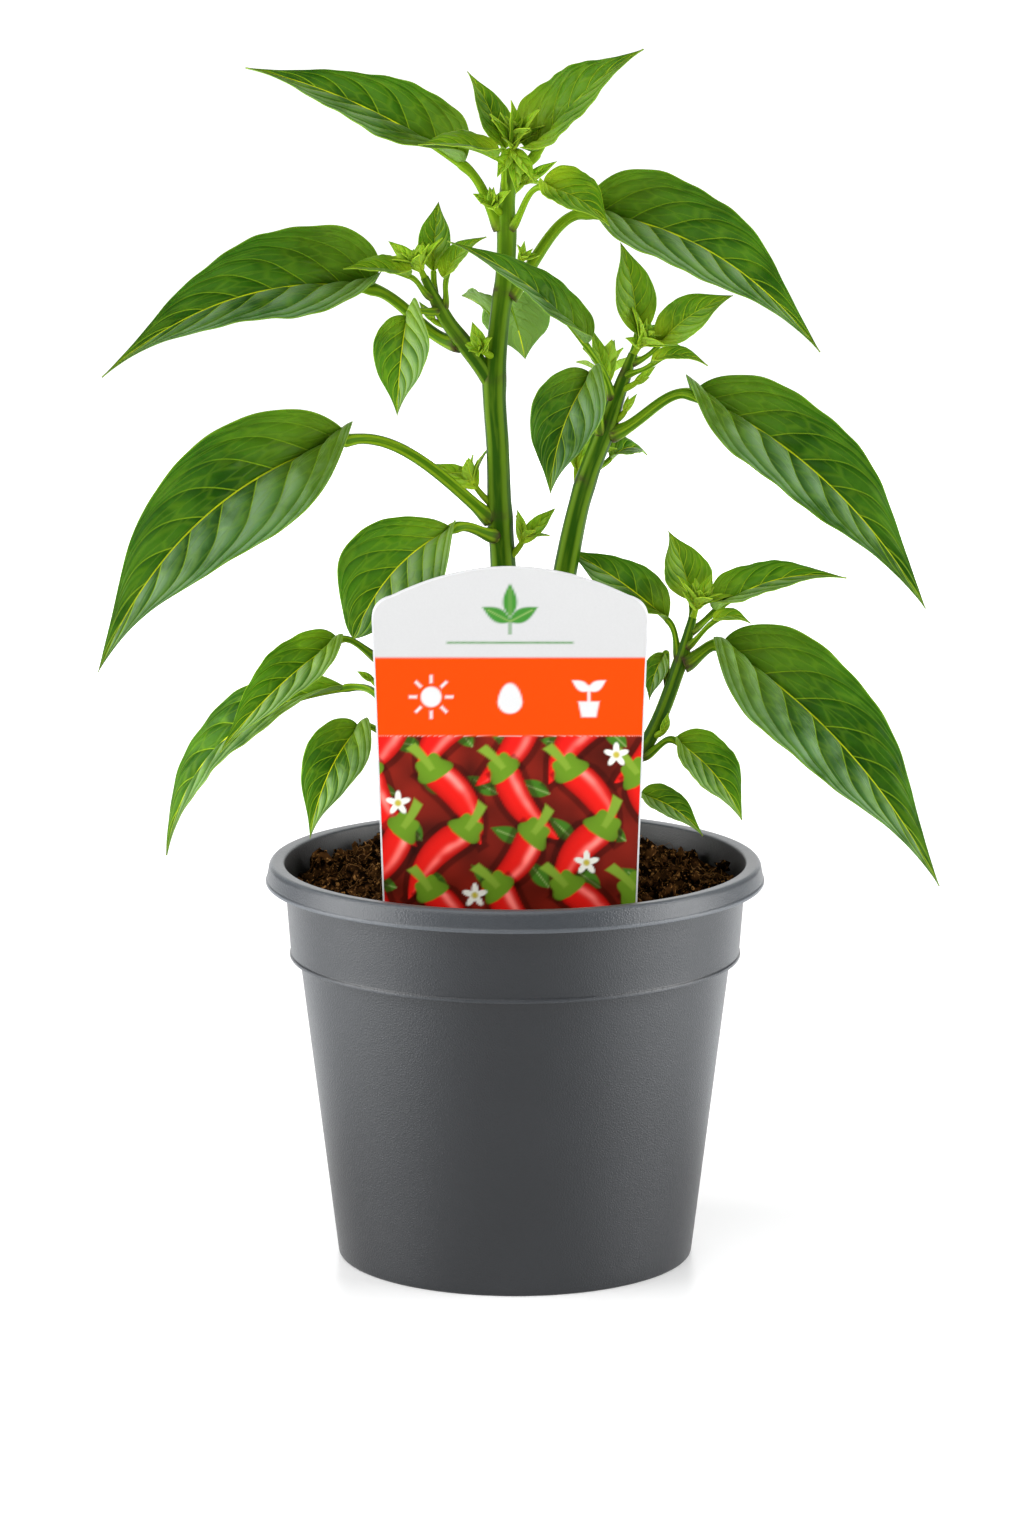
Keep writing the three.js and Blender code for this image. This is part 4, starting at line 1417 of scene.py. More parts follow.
@dataclass
class Stem:
    """A round-ridged stem through knots of x, y, z and radius, with swellings where leaves grow. In
    millimetres."""

    name: str
    knots: Sequence[tuple[float, float, float, float]]
    nodes: Sequence[float]
    sides: int = 30
    steps: int = 14
    ridge_height: float = 0.035
    swelling: float = 0.08
    swelling_reach: float = 3.2

    def at(self, share: Array) -> tuple[Array, Array, Array]:
        """The stem at shares of its knots.

        Args:
            share: places from 0 at its foot to 1 at its tip.

        Returns:
            Centres, unit directions and radii.
        """
        knots = np.array(self.knots, float)
        centre, along = curve_through(knots[:, :3], share)
        radius = np.interp(share * (len(knots) - 1), np.arange(len(knots)), knots[:, 3])
        return centre, along, radius

    def at_height(self, z: float) -> tuple[Array, Array, float]:
        """The stem at a height, found by halving, since every stem climbs all the way.

        Args:
            z: the height.

        Returns:
            The centre, the unit direction and the radius.
        """
        low, high = 0.0, 1.0
        for _ in range(30):
            middle = (low + high) / 2
            if self.at(np.array([middle]))[0][0, 2] < z:
                low = middle
            else:
                high = middle
        centre, along, radius = self.at(np.array([low]))
        return centre[0], along[0], float(radius[0])

    def surface(self) -> Surface:
        """The skin: the radius evened out along the stem, times 1 and a share of the cosine of the ridges,
        times 1 and a bell curve at each node. A dark mark stands just over each node, mostly on one side.

        Returns:
            The skin, with the attribute stalk.
        """
        share = np.linspace(0, 1, self.steps * (len(self.knots) - 1) + 1)
        centre, along, radius = self.at(share)
        radius = np.convolve(np.pad(radius, 6, "edge"), np.ones(13) / 13, "valid")
        away = centre[:, 2][:, None] - np.array(self.nodes)[None, :]
        hump = np.exp(-((away / self.swelling_reach) ** 2)).sum(axis=1)
        mark = np.clip(np.exp(-(((away - 1.1) / 1.1) ** 2)).sum(axis=1), 0, 1)
        angle = turns(self.sides)
        ridges = 1 + self.ridge_height * np.cos(STEM_RIDGES * angle)[None, :]
        girth = (radius * (1 + self.swelling * hump))[:, None] * ridges
        turn = np.broadcast_to(angle / (2 * np.pi), girth.shape)
        sided = mark[:, None] * (0.35 + 0.65 * smooth_step(np.sin(2 * angle + 1)[None, :], -0.2, 0.8))
        stalk = np.stack([np.broadcast_to(lengths(centre)[:, None], girth.shape), turn, sided], -1)
        return tube(centre, along, np.array([1.0, 0.2, 0.1]), girth, stalk=stalk)


STEMS = {
    stem.name: stem
    for stem in (
        Stem("main",
             [(0, 6, 66, 2.2), (0, 6, 84, 3.4), (-0.8, 6, 104, 3.9), (-2.2, 5, 140, 3.5), (-3.2, 4, 183, 3.3),
              (-4, 3, 195, 3.2), (-4.5, 3, 212, 2.9), (-5.4, 3, 229, 3), (-4, 4, 246, 2.5),
              (-2.7, 4.6, 256, 2.5), (-2.2, 4, 266, 2.5), (-2.2, 3, 275, 2.2), (-1.2, 2, 287, 1.6)],
             [194.5, 230, 252, 269.5, 281]),
        Stem("leftUpper",
             [(-5.4, 3, 227, 1.6), (-8, 2.4, 232.5, 2.2), (-12.4, 1, 239, 2.1), (-17.4, -1, 246, 1.9),
              (-20.1, -2, 251, 1.6), (-23.2, -3, 257.5, 1)],
             [240.5, 249.5]),
        Stem("right",
             [(0, 5, 106, 2), (4, 2.5, 122, 2.9), (9, 0, 154, 3.1), (13.2, -2, 183, 3.1),
              (17.6, -3, 203, 2.6), (23.4, -4, 219, 2.6), (26.2, -4, 227, 2), (30.2, -4, 238, 1.1)],
             [204, 219, 232]),
        Stem("rightLow",
             [(1, 4, 104, 1.6), (9, -1, 111, 2), (22, -7, 123, 2), (34.4, -8, 138, 1.95),
              (42.4, -8, 158, 1.9), (45.8, -7, 170, 1)],
             [134.5, 158.5]),
        Stem("leftLow",
             [(-1.5, 6, 108, 1.6), (-10, 4, 115, 2), (-22, 2, 125, 1.9), (-30.5, 0, 140, 1.7),
              (-35, 0, 158, 1.3), (-36, 0, 166, 0.9)],
             [136, 145, 158]),
    )
}


# ---------------------------------------------------------------- leaves


@dataclass(frozen=True)
class Venation:
    """How side veins run: each leaves the midrib at an angle, and turns to run beside the margin.

    The vein through a point at share u of the length and share a of the half width leaves the midrib at
    u - a (lean + turn a^5), where lean follows from the angle and from how slender the blade is.
    """

    angle: float = math.radians(44)
    turn: float = 0.26
    stagger: float = 0.22

    def phase(self, u: Any, across: Any, side: Any, pairs: Any, lean: Any, slender: Any) -> tuple[Any, Any]:
        """Count the veins up to a point. It works on arrays and on signals alike.

        Args:
            u: the share of the length.
            across: the share of the half width, without its side.
            side: -1 or 1.
            pairs: how many veins each half has.
            lean: how far a vein gets along the blade while it crosses it, at the angle.
            slender: the length over the half width here.

        Returns:
            The count, whole on a vein, and how much closer the veins lie here than on the midrib.
        """
        bend = across**5 * self.turn
        slope = (bend * 6 + lean) * slender
        return (u - across * (bend + lean)) * pairs + side * self.stagger, (slope * slope + 1) ** -0.5


VEINS = Venation()
FRONT = np.array([0, -0.98, 0.19])
UP = np.array([0.0, 0.0, 1.0])


class Age(Enum):
    """How old a leaf is, by the record's material slot."""

    MATURE = "leaf_green"
    YOUNG = "leaf_young"


@dataclass
class Leaf:
    """A pointed leaf on a stalk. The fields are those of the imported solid, in millimetres and degrees.

    The blade is widest at the share peak of its length. lift bows its midrib up, tilt turns its upper side
    up from the front, fold raises each half, cup is that angle at the very base, and rise is the angle at
    which the stalk leaves the stem. ear is how far the base of one half, the sign's side, stands up and
    back over the stalk, and pale is how much lighter its green is than the finish's, or below 0 how much
    darker. wave and ripple are shares of the half width, and swell, wrinkle and blister shares of the
    distance between veins. groove and keel are how far the midrib is sunk above and stands out below.
    """

    name: str
    stem: str
    at: float
    base: tuple[float, float, float]
    tip: tuple[float, float, float]
    width: float
    peak: float = 0.3
    lift: float = 2.0
    tilt: float = 35.0
    fold: float = 20.0
    cup: float = 88.0
    rise: float = 40.0
    age: Age = Age.MATURE
    facing: Optional[Array] = None
    droop_share: float = 1 / 18
    roundness: float = 1.75
    cup_length: float = 0.12
    ear_place: float = 0.035
    tip_draw: float = 0.3
    wave: float = 0.04
    ripple: float = 0.014
    swell: float = 0.14
    wrinkle: float = 0.045
    blister: float = 0.022
    half_thickness: float = 0.21
    groove: float = 0.22
    keel: float = 0.35
    stalk_sides: int = 16
    seed: int = 0
    ear: float = 0.0
    pale: float = 0.0

    def __post_init__(self) -> None:
        """Work out the lines that the blade is laid on."""
        self.foot_of_blade, self.end = np.array(self.base, float), np.array(self.tip, float)
        chord = self.end - self.foot_of_blade
        self.length = float(np.linalg.norm(chord))
        self.chord, self.along = chord, chord / self.length
        climb = square_to(self.along, UP)
        tilt = math.radians(self.tilt)
        droop, lift = self.length * self.droop_share, self.lift
        if self.facing is None:
            self.facing = FRONT * math.cos(tilt) + climb * math.sin(tilt)
            lift = lift - droop * abs(math.sin(tilt))
        self.bow = climb * lift + square_to(self.along, self.facing) * droop
        self.pairs = float(np.clip(round(5 + self.length / 28), 5, 8)) if self.length > 15 else 4.0
        self.vein_lean = self.width / 2 / self.length / math.tan(VEINS.angle)

    def midrib(self, u: Array) -> tuple[Array, Array]:
        """The midrib, a parabola over the line from base to tip.

        Args:
            u: shares of the length, in any shape.

        Returns:
            The points and the unit directions there.
        """
        u = u[..., None]
        place = self.foot_of_blade + self.chord * u + self.bow * 4 * u * (1 - u)
        return place, unit(self.chord + self.bow * (4 - 8 * u))

    def outline(self, u: Any) -> Any:
        """How wide the blade is at u: u^(k p) (1 - u)^(k (1 - p)), with k the roundness and p the peak."""
        return u ** (self.roundness * self.peak) * (1 - u) ** (self.roundness * (1 - self.peak))

    def half_width(self, u: Array) -> Array:
        """Half the width at u: the outline scaled to the full width, and drawn in to a drip tip."""
        drawn_in = 1 - self.tip_draw * smooth_step(u, 0.6, 0.92)
        return self.width / 2 * self.outline(u) / self.outline(self.peak) * drawn_in

    def sheet(self, u: Array, v: Array) -> Array:
        """The blade's middle surface without its relief. The halves fold up steeply at the base and arch
        back down towards the margin, which waves along its length in one slow and one quick wave. The ear
        lifts the margin of one half by x e^(1 - x), where x counts in shares of the ear's place on the
        length.

        Args:
            u: shares of the length.
            v: shares of the half width, from -1 to 1.

        Returns:
            Points.
        """
        place, tangent = self.midrib(u)
        side = unit(np.cross(tangent, self.facing))
        normal = np.cross(side, tangent)
        across, base = abs(v), np.exp(-u / self.cup_length)
        near = np.sign(v) * np.sign(self.ear)
        cup = self.cup + (near > 0) * 45 - (near < 0) * 30
        lean = np.radians(self.fold + (cup - self.fold) * base)
        bend = (near > 0) * np.radians(-180) * base - 1e-4
        flat = (np.sin(lean + bend * across) - np.sin(lean)) / bend
        climb = (np.cos(lean) - np.cos(lean + bend * across)) / bend
        reach = self.half_width(u)
        wave = self.wave * np.sin(5.5 * np.pi * u + 1.2 * np.sign(v)) * v * v
        ripple = self.ripple * np.sin(17 * np.pi * u + 2.1 * np.sign(v) + self.seed) * across**3
        rise = climb - 0.12 * v * v + wave + ripple
        count = u / self.ear_place
        ear = abs(self.ear) * (near > 0) * across**1.5 * count * np.exp(1 - count)
        points = place + side * (reach * np.sign(v) * flat)[..., None] + normal * (reach * rise)[..., None]
        return points + (UP - tangent * 0.4) * ear[..., None]

    def normals(self, u: Array, v: Array) -> Array:
        """The blade's unit normals, from short steps along and across it.

        Args:
            u: shares of the length.
            v: shares of the half width, from -1 to 1.

        Returns:
            The normals.
        """
        step = 0.004
        lower, upper = np.maximum(u - step, 0.002), np.minimum(u + step, 0.998)
        middle = np.clip(u, 0.004, 0.996)
        along = self.sheet(upper, v) - self.sheet(lower, v)
        across = self.sheet(middle, np.minimum(v + 0.04, 1)) - self.sheet(middle, np.maximum(v - 0.04, -1))
        return unit(np.cross(across, along))

    def relief(self, u: Array, v: Array) -> Array:
        """How far the blade swells between its veins: a root of half a sine from vein to vein, lower where
        they lie closer, down to nothing at the midrib, at the margin and at both ends, with wrinkles and
        blisters over it.

        Args:
            u: shares of the length.
            v: shares of the half width, from -1 to 1.

        Returns:
            The heights.
        """
        across, half = abs(v), np.maximum(self.half_width(u), 1.0)
        count, squeeze = VEINS.phase(u, across, np.sign(v), self.pairs, self.vein_lean, self.length / half)
        spacing = self.length / self.pairs * squeeze
        swell = np.sin(np.pi * (count - np.floor(count))) ** 0.7
        fade = (1 - np.exp(-across * half / 1.6)) * smooth_step(1 - across, 0.0, 0.3)
        fade = fade * smooth_step(u, 0.01, 0.1) * smooth_step(1 - u, 0.02, 0.3)
        wrinkle = value_noise(count * 1.4 + 7, across * half / 3.4 + self.seed, 1.0, self.seed)
        blister = value_noise(count * 3.3, across * half / 1.7 + self.seed, 1.0, self.seed + 40)
        return fade * spacing * (self.swell * swell + self.wrinkle * wrinkle + self.blister * blister)

    def blade(self) -> Surface:
        """The blade: each ring crosses its upper face and comes back under it. The midrib is sunk above and
        stands out below, and the margin is thinner than the middle.

        Returns:
            The blade, with the attributes blade, leaf and face.
        """
        rows, columns = (190, 65) if self.length > 40 else (80, 33) if self.length > 12 else (16, 9)
        u = (0.0015 + 0.997 * np.linspace(0, 1, rows) ** 1.15)[:, None] * np.ones((1, columns))
        line = np.linspace(-1, 1, columns)
        v = np.ones((rows, 1)) * (np.sign(line) * abs(line) ** 1.12)[None, :]
        middle, normal = self.sheet(u, v), self.normals(u, v)
        half = self.half_width(u)
        rib = np.exp(-((v * half / 0.7) ** 2)) * (1 - 0.7 * u) * min(1.0, self.width / 20)
        thick = self.half_thickness * (1 - 0.55 * v**4)
        swell = self.relief(u, v)
        upper = middle + normal * (swell + thick - self.groove * rib)[..., None]
        lower = middle + normal * (swell - thick - self.keel * rib)[..., None]
        rings = np.concatenate([upper, lower[:, ::-1]], axis=1)
        blade = np.stack([np.concatenate([grid, grid[:, ::-1]], axis=1) for grid in (u, v, half)], -1)
        leaf = np.broadcast_to([self.length, self.pairs, self.vein_lean], blade.shape)
        near = -np.sign(np.cross(self.along, self.facing)[2])
        face = np.empty_like(blade)
        face[..., 0] = np.arange(2 * columns) < columns
        face[..., 1:] = near, self.pale
        return Surface.from_rings(rings, blade=blade, leaf=leaf, face=face)

    def stalk(self) -> Surface:
        """The leaf stalk: from inside the stem on a cubic Bezier curve to the blade, and on under it as its
        rib.

        Returns:
            A tube that flares where it leaves the stem, flattened on its upper side.
        """
        centre, along, radius = STEMS[self.stem].at_height(self.at)
        way = square_to(along, self.foot_of_blade - centre)
        foot = centre + way * (radius - 0.9)
        reach = float(np.linalg.norm(self.foot_of_blade - foot))
        tangent = self.midrib(np.array([0.0]))[1][0]
        rise = math.radians(self.rise)
        start = way * math.cos(rise) + along * math.sin(rise)
        first, last = foot + start * 0.35 * reach, self.foot_of_blade - tangent * 0.35 * reach
        t = np.linspace(0, 1, 26)[:, None]
        line = quadratic(foot, first, last, t) * (1 - t) + quadratic(first, last, self.foot_of_blade, t) * t
        thick = float(np.clip(self.width / 24, 0.55, 1.3))
        t = t[:, 0]
        flare = 1 + 0.45 * np.exp(-((t * reach / 3.2) ** 2)) + 0.3 * np.exp(-(((1 - t) * reach / 2.5) ** 2))
        radii = 1.2 * thick * (1.15 - 0.25 * t) * flare
        u = np.linspace(0.02, 0.55, 16)
        under, _ = self.midrib(u)
        under = under - self.normals(u, 0 * u) * (0.25 + 0.2 * thick)
        line = np.vstack([line, under])
        radii = np.concatenate([radii, thick * np.interp(u, [0.02, 0.2, 0.55], [0.85, 0.5, 0.16])])
        heading = unit(np.gradient(line, axis=0))
        angle = turns(self.stalk_sides)
        groove = 1 - 0.12 * np.exp(-(((angle - 1.5 * np.pi) / 0.5) ** 2))
        travelled = lengths(line)[:, None]
        mark = np.exp(-((travelled / 2.0) ** 2))
        stalk = np.stack(np.broadcast_arrays(travelled, angle / (2 * np.pi), mark), -1)
        return tube(line, heading, np.cross(heading[0], UP), radii[:, None] * groove, stalk=stalk)


def leaf_table() -> list[Leaf]:
    """The plant's leaves, from the top down on the main stem and then branch by branch.

    Each row gives a leaf's name, its stem, the height where it grows, the base and the tip of its blade and
    its width, then peak, lift, tilt and fold, and by name whatever else isn't the usual.

    Returns:
        The leaves.
    """
    young = Age.YOUNG
    return [
        Leaf("top_left", "main", 269.5, (-13.4, 2, 285.8), (-69.2, 12, 309.8), 26, 0.25, 3.2, 49, 24,
             rise=60, pale=0.5),
        Leaf("top_right", "main", 284, (5.4, 0.8, 288.9), (32.4, -12, 316.4), 26, 0.26, 2.1, 44, age=young,
             pale=-0.6),
        Leaf("top_upright", "main", 281, (-3, 5, 289.5), (-12.2, 6, 309.3), 9.6, lift=1, tilt=27, age=young),
        Leaf("top_small_left", "main", 279, (-4.6, -5, 288.2), (-24.6, -17, 292.6), 12.5, lift=1.5, tilt=64,
             fold=25, age=young),
        Leaf("top_small_right", "main", 269.5, (7.3, -7, 281), (23.9, -18, 272.2), 16.5, tilt=55, age=young),
        Leaf("upper_right", "main", 252, (18.8, 8, 272.8), (77.5, -18, 240.1), 31.5, 0.27, 7.9, 45, rise=55,
             pale=0.15),
        Leaf("upper_left", "leftUpper", 240.5, (-37.1, 4, 253.8), (-104.6, -25, 234.6), 35, 0.2, 8.6, 43,
             rise=20),
        Leaf("middle_left", "main", 194.5, (-43.5, -8, 216.1), (-105.9, -35, 160.3), 33, 0.3, 10.8, 12, 14,
             cup=120, rise=45, ear=-6),
        Leaf("middle_right", "right", 218, (45.5, -8, 227.9), (104, -34, 176.8), 29.8, 0.33, 7.2, 41,
             rise=35, ear=6),
        Leaf("lower_right", "rightLow", 158.5, (53.1, -8, 162.8), (108.7, -30, 104.1), 32.5, 0.28, 6.4, 32,
             rise=35, ear=4),
        Leaf("lower_left_front", "leftLow", 158, (-45.7, 2, 162.5), (-75.9, -18, 136.7), 18, lift=2.4,
             tilt=52, fold=22, pale=0.9, ear=-2),
        Leaf("lower_left_back", "leftLow", 145, (-44.3, 16, 147.5), (-92.7, 30, 99.6), 21, 0.4, 11.5, 48,
             pale=0.5),
        Leaf("lower_left_small", "leftLow", 136, (-40.4, -6, 141), (-52.8, -20, 114.6), 17.5, lift=3.4,
             tilt=24, pale=0.8, ear=-3),
        Leaf("behind_label", "main", 190.5, (-15.9, -9, 193.6), (-41.3, -22, 167.1), 28, 0.55, 4.2, 10, 14,
             rise=15, ear=-3, pale=0.55),
        Leaf("over_stem", "right", 226, (17.9, -10, 241.2), (-17.2, -19, 268.6), 16, 0.27, 3, 50, 22,
             rise=60, pale=0.1),
        Leaf("centre_hanging", "right", 217.5, (19.4, -14, 233.9), (8.9, -24, 204.7), 20, 0.34, 3.4, 30,
             rise=50, ear=-3),
        Leaf("right_upright", "right", 233.5, (31.1, -1, 242.5), (26.9, -2, 266.4), 11.8, 0.37, 1, 15,
             age=young),
        Leaf("right_sideways", "right", 235.5, (37, -5, 240.7), (55.5, -10, 253.7), 12, 0.36, 1.6, 20,
             age=young),
        Leaf("right_little", "right", 232.5, (35, -12, 236.4), (48.9, -19, 236.8), 6.5, lift=2.6, tilt=55,
             age=young),
        Leaf("right_behind", "right", 206, (24.5, 7, 209.2), (34.4, 16, 209), 9, lift=2.4, tilt=50, pale=0.6),
        Leaf("left_hanging", "leftUpper", 249.2, (-27.5, -9, 248), (-30, -18, 223.9), 15.5, 0.33, 2, 50,
             rise=20, pale=0.8, ear=-4),
        Leaf("left_upright", "leftUpper", 252.5, (-20.9, 1.5, 258.5), (-19.6, 4, 276.2), 9, 0.4, 0.6, 5,
             age=young),
        Leaf("left_sideways", "leftUpper", 252.5, (-26.8, -5.6, 258), (-43.7, -12, 260.7), 10.5, lift=1,
             tilt=62, fold=25, age=young),
        Leaf("left_inner", "leftUpper", 248.8, (-17.6, -3, 257.1), (-7.3, -4, 268), 8, tilt=45, age=young),
        Leaf("back_right", "main", 251, (-1.6, 15, 249.4), (2.7, 26, 232.8), 18.5, 0.36, 1, 140, 10,
             pale=0.6),
        Leaf("back_left", "main", 243, (-5.4, 12, 245.4), (-13.8, 19, 250.4), 15, 0.36, 1, 125, 10, pale=0.6),
        Leaf("low_upright", "rightLow", 165.5, (45.6, 0, 173), (39.7, 5, 190.8), 14.5, lift=1, tilt=38,
             age=young),
        Leaf("low_sideways", "rightLow", 166.5, (51.6, -5, 171.4), (85.3, -9, 180.7), 16, 0.25, 4, 56, 22,
             pale=0.9),
        Leaf("low_little", "rightLow", 162.5, (51, -13, 170), (60.3, -18, 170.4), 6, lift=1.6, tilt=55,
             age=young),
        Leaf("low_inner", "rightLow", 159.5, (39.2, -6, 169.3), (12.4, 6, 186.1), 15, lift=1.4, tilt=35,
             rise=60, pale=0.6),
        Leaf("low_right_hanging", "rightLow", 134.5, (41.1, -11, 138.6), (58.4, -20, 119.4), 17.5, 0.35, 2.6,
             57, pale=1.2),
        Leaf("low_right_bottom", "rightLow", 120, (32.6, -13, 124.5), (48.3, -22, 115.7), 10, tilt=50,
             pale=0.9),
        Leaf("low_inner_little", "rightLow", 152, (38.6, -5, 160.1), (34.6, -8, 148.5), 7, lift=1, tilt=30,
             pale=0.6),
    ]


# ---------------------------------------------------------------- shoots


@dataclass
class Shoot:
    """A short green axis with a few leaflets that end at given points, and a bud of smaller ones in a
    spiral.

    It grows from the stem's tip, or from its side at a height, in the way given there. In millimetres.
    """

    name: str
    stem: str
    end: tuple[float, float, float]
    leaflets: Sequence[tuple[float, float, float, float]]
    bud: int = 0
    bud_length: float = 5.0
    at: Optional[float] = None
    way: tuple[float, float, float] = (0, 0, 1)
    golden_angle: float = math.radians(137.5)

    def surfaces(self) -> tuple[Surface, Surface]:
        """The axis, on a quadratic arc, and its leaflets with the bud, whose leaflets turn by the golden
        angle, close in and shorten towards the middle.

        Returns:
            The axis, and all leaflets as one surface.
        """
        stem = STEMS[self.stem]
        if self.at is None:
            centre, along, _ = (part[0] for part in stem.at(np.array([1.0])))
            way, foot = along, centre - along * 0.8
        else:
            centre, along, radius = stem.at_height(self.at)
            way = square_to(along, np.array(self.way, float))
            foot = centre + way * (radius - 0.8)
        end = np.array(self.end, float)
        middle = (foot + end) / 2 + way * 0.4
        axis = unit(end - middle)
        t = np.linspace(0, 1, 12)[:, None]
        line = quadratic(foot, 2 * middle - (foot + end) / 2, end, t)
        stalk = thread(line, np.linspace(0.95, 0.65, 12), 12)
        stalk.extras["stalk"] = np.outer(np.arange(len(stalk.points)) * 0.05, [1, 0, 0])
        low = middle + (end - middle) * 0.4
        blades = [
            self.leaflet(low, np.array(tip), width, axis + FRONT, n)
            for n, (*tip, width) in enumerate(self.leaflets)
        ]
        across = square_to(axis, np.array([1, 0.2, 0.1]))
        other = np.cross(axis, across)
        base = end - axis * 0.5
        count = 3 * self.bud
        for k in range(count):
            share = k / count
            tilt = math.radians(58 - 42 * share)
            length = self.bud_length * (1 - 0.45 * share)
            turn = self.golden_angle * k
            outwards = across * math.cos(turn) + other * math.sin(turn)
            heading = axis * math.cos(tilt) + outwards * math.sin(tilt)
            blades.append(self.leaflet(base, base + heading * length, 0.5 * length, axis, k + 9))
        return stalk, Surface.together(blades)

    @staticmethod
    def leaflet(base: Array, tip: Array, width: float, way: Array, seed: int) -> Surface:
        """A leaflet of a growing tip.

        Args:
            base: where it starts.
            tip: where it ends.
            width: at its widest.
            way: where its upper side faces.
            seed: for its relief.

        Returns:
            Its blade.
        """
        facing = square_to(unit(tip - base), way)
        return Leaf(
            "leaflet",
            "main",
            0,
            tuple(base),
            tuple(tip),
            width,
            peak=0.38,
            lift=0,
            fold=23,
            cup=46,
            facing=facing,
            roundness=1.35,
            seed=seed,
            pale=0.3,
        ).blade()


def shoot_table() -> list[Shoot]:
    """The plant's growing tips, side shoots and buds.

    Each row gives a shoot's name, its stem, the end of its axis, its leaflets as tip and width, and the
    turns and length of its bud. A side shoot has the height where it grows and its way there as well.

    Returns:
        The shoots.
    """
    return [
        Shoot("top_shoot", "main", (-0.4, 1.6, 290.8),
              [(2, -5, 298.4, 4), (4.2, -6.2, 295.4, 3.4), (-3.4, -5, 293.4, 3.4), (-6, -5, 298, 4.4),
               (6.5, -7, 301, 5), (-4.6, -7, 283.5, 4), (4.8, -8, 282.5, 4.4), (0.4, -8, 279.5, 4),
               (-1, -7, 303, 4.6)], 5, 13),
        Shoot("left_shoot", "leftUpper", (-24.2, -3.4, 259.8),
              [(-32.4, -0.5, 266.5, 4.4), (-26.4, -7, 264.4, 3)], 4, 10),
        Shoot("right_shoot", "right", (32.2, -4.6, 240.4),
              [(33.6, -7.8, 245.6, 3.4), (28.2, -8, 242.6, 3)], 4, 11),
        Shoot("low_shoot", "rightLow", (46.8, -7.6, 173.2),
              [(50.4, -8, 181.4, 4), (43, -10, 177.4, 3.4)], 4, 10),
        Shoot("low_left_shoot", "leftLow", (-37, 0.2, 169.6),
              [(-39, -3, 175, 3.4), (-34, 2, 176, 3)], 3, 7),
        Shoot("fork_shoot", "main", (-8.6, -1.8, 238.6),
              [(-11, -2.4, 246, 4.4), (-7, -3, 242.4, 2.8)], 2, 6, 236.5, (-0.45, -0.8, 0.3)),
        Shoot("middle_left_shoot", "main", (-11, 3, 204),
              [(-21, 2, 208.6, 6), (-9.8, 4, 209.4, 2.4)], 3, 10, 198.5, (-0.9, -0.2, 0.3)),
        Shoot("middle_right_shoot", "main", (2.4, 2.2, 189.5),
              [(10.4, 3, 197, 4.8), (0.6, 2.6, 196.6, 3.6)], 2, 7, 184.5, (0.9, -0.4, 0.3)),
        Shoot("right_axil_shoot", "right", (16, 3.4, 208.6),
              [(14.4, 6, 220, 4.6), (20.4, 6, 219, 4.4), (11.6, 3, 216, 3)], 3, 12, 203, (-0.7, 0.6, 0.4)),
        Shoot("right_twig", "right", (23.2, 3, 231.5),
              [(19.4, 1, 244, 5), (25.6, 6, 240.4, 4.4)], 3, 12, 222.5, (-0.6, 0.75, 0.3)),
        Shoot("right_node_bud", "right", (28.4, -5.2, 224),
              [(31.2, -6, 228, 2), (29, -5.4, 227.4, 1.6)], at=221.4, way=(0.9, -0.2, 0.4)),
        Shoot("right_side_bud", "right", (31.5, -6.3, 231.4),
              [(36, -5.6, 235, 2.2), (34.4, -6.2, 232.2, 2)], at=229.2, way=(0.75, -0.65, 0.2)),
        Shoot("top_right_bud", "main", (2.4, 4, 281.4),
              [(10.7, 5, 286.4, 3.2), (4.4, 5, 286, 2.6)], 2, 7, 278.5, (0.8, 0.6, 0.3)),
        Shoot("top_left_bud", "main", (-5.4, -0.8, 275.6),
              [(-6.6, -2, 280.6, 3), (-4.6, -3, 278.8, 2.2)], 2, 7, 273.5, (-0.8, -0.6, 0.2)),
        Shoot("upper_right_bud", "main", (1.8, 0.6, 262),
              [(2.4, -0.4, 266.6, 2.2), (4.6, 0, 264.6, 1.8)], 1, 5, 258.5, (0.8, -0.5, 0.2)),
        Shoot("left_petiole_bud", "leftUpper", (-21.4, -1.4, 246.7),
              [(-24.6, -2, 251.2, 2.4)], at=245.5, way=(-0.9, 0.1, 0.2)),
        Shoot("low_left_bud", "leftLow", (-37.4, 2, 152.6),
              [(-41, 3, 154.2, 2.2)], at=150, way=(-0.8, 0.3, 0.4)),
        Shoot("low_right_bud", "rightLow", (38.6, -11.4, 141.4),
              [(39.4, -12.4, 146, 2.6)], at=140, way=(0.7, -0.6, 0.2)),
    ]


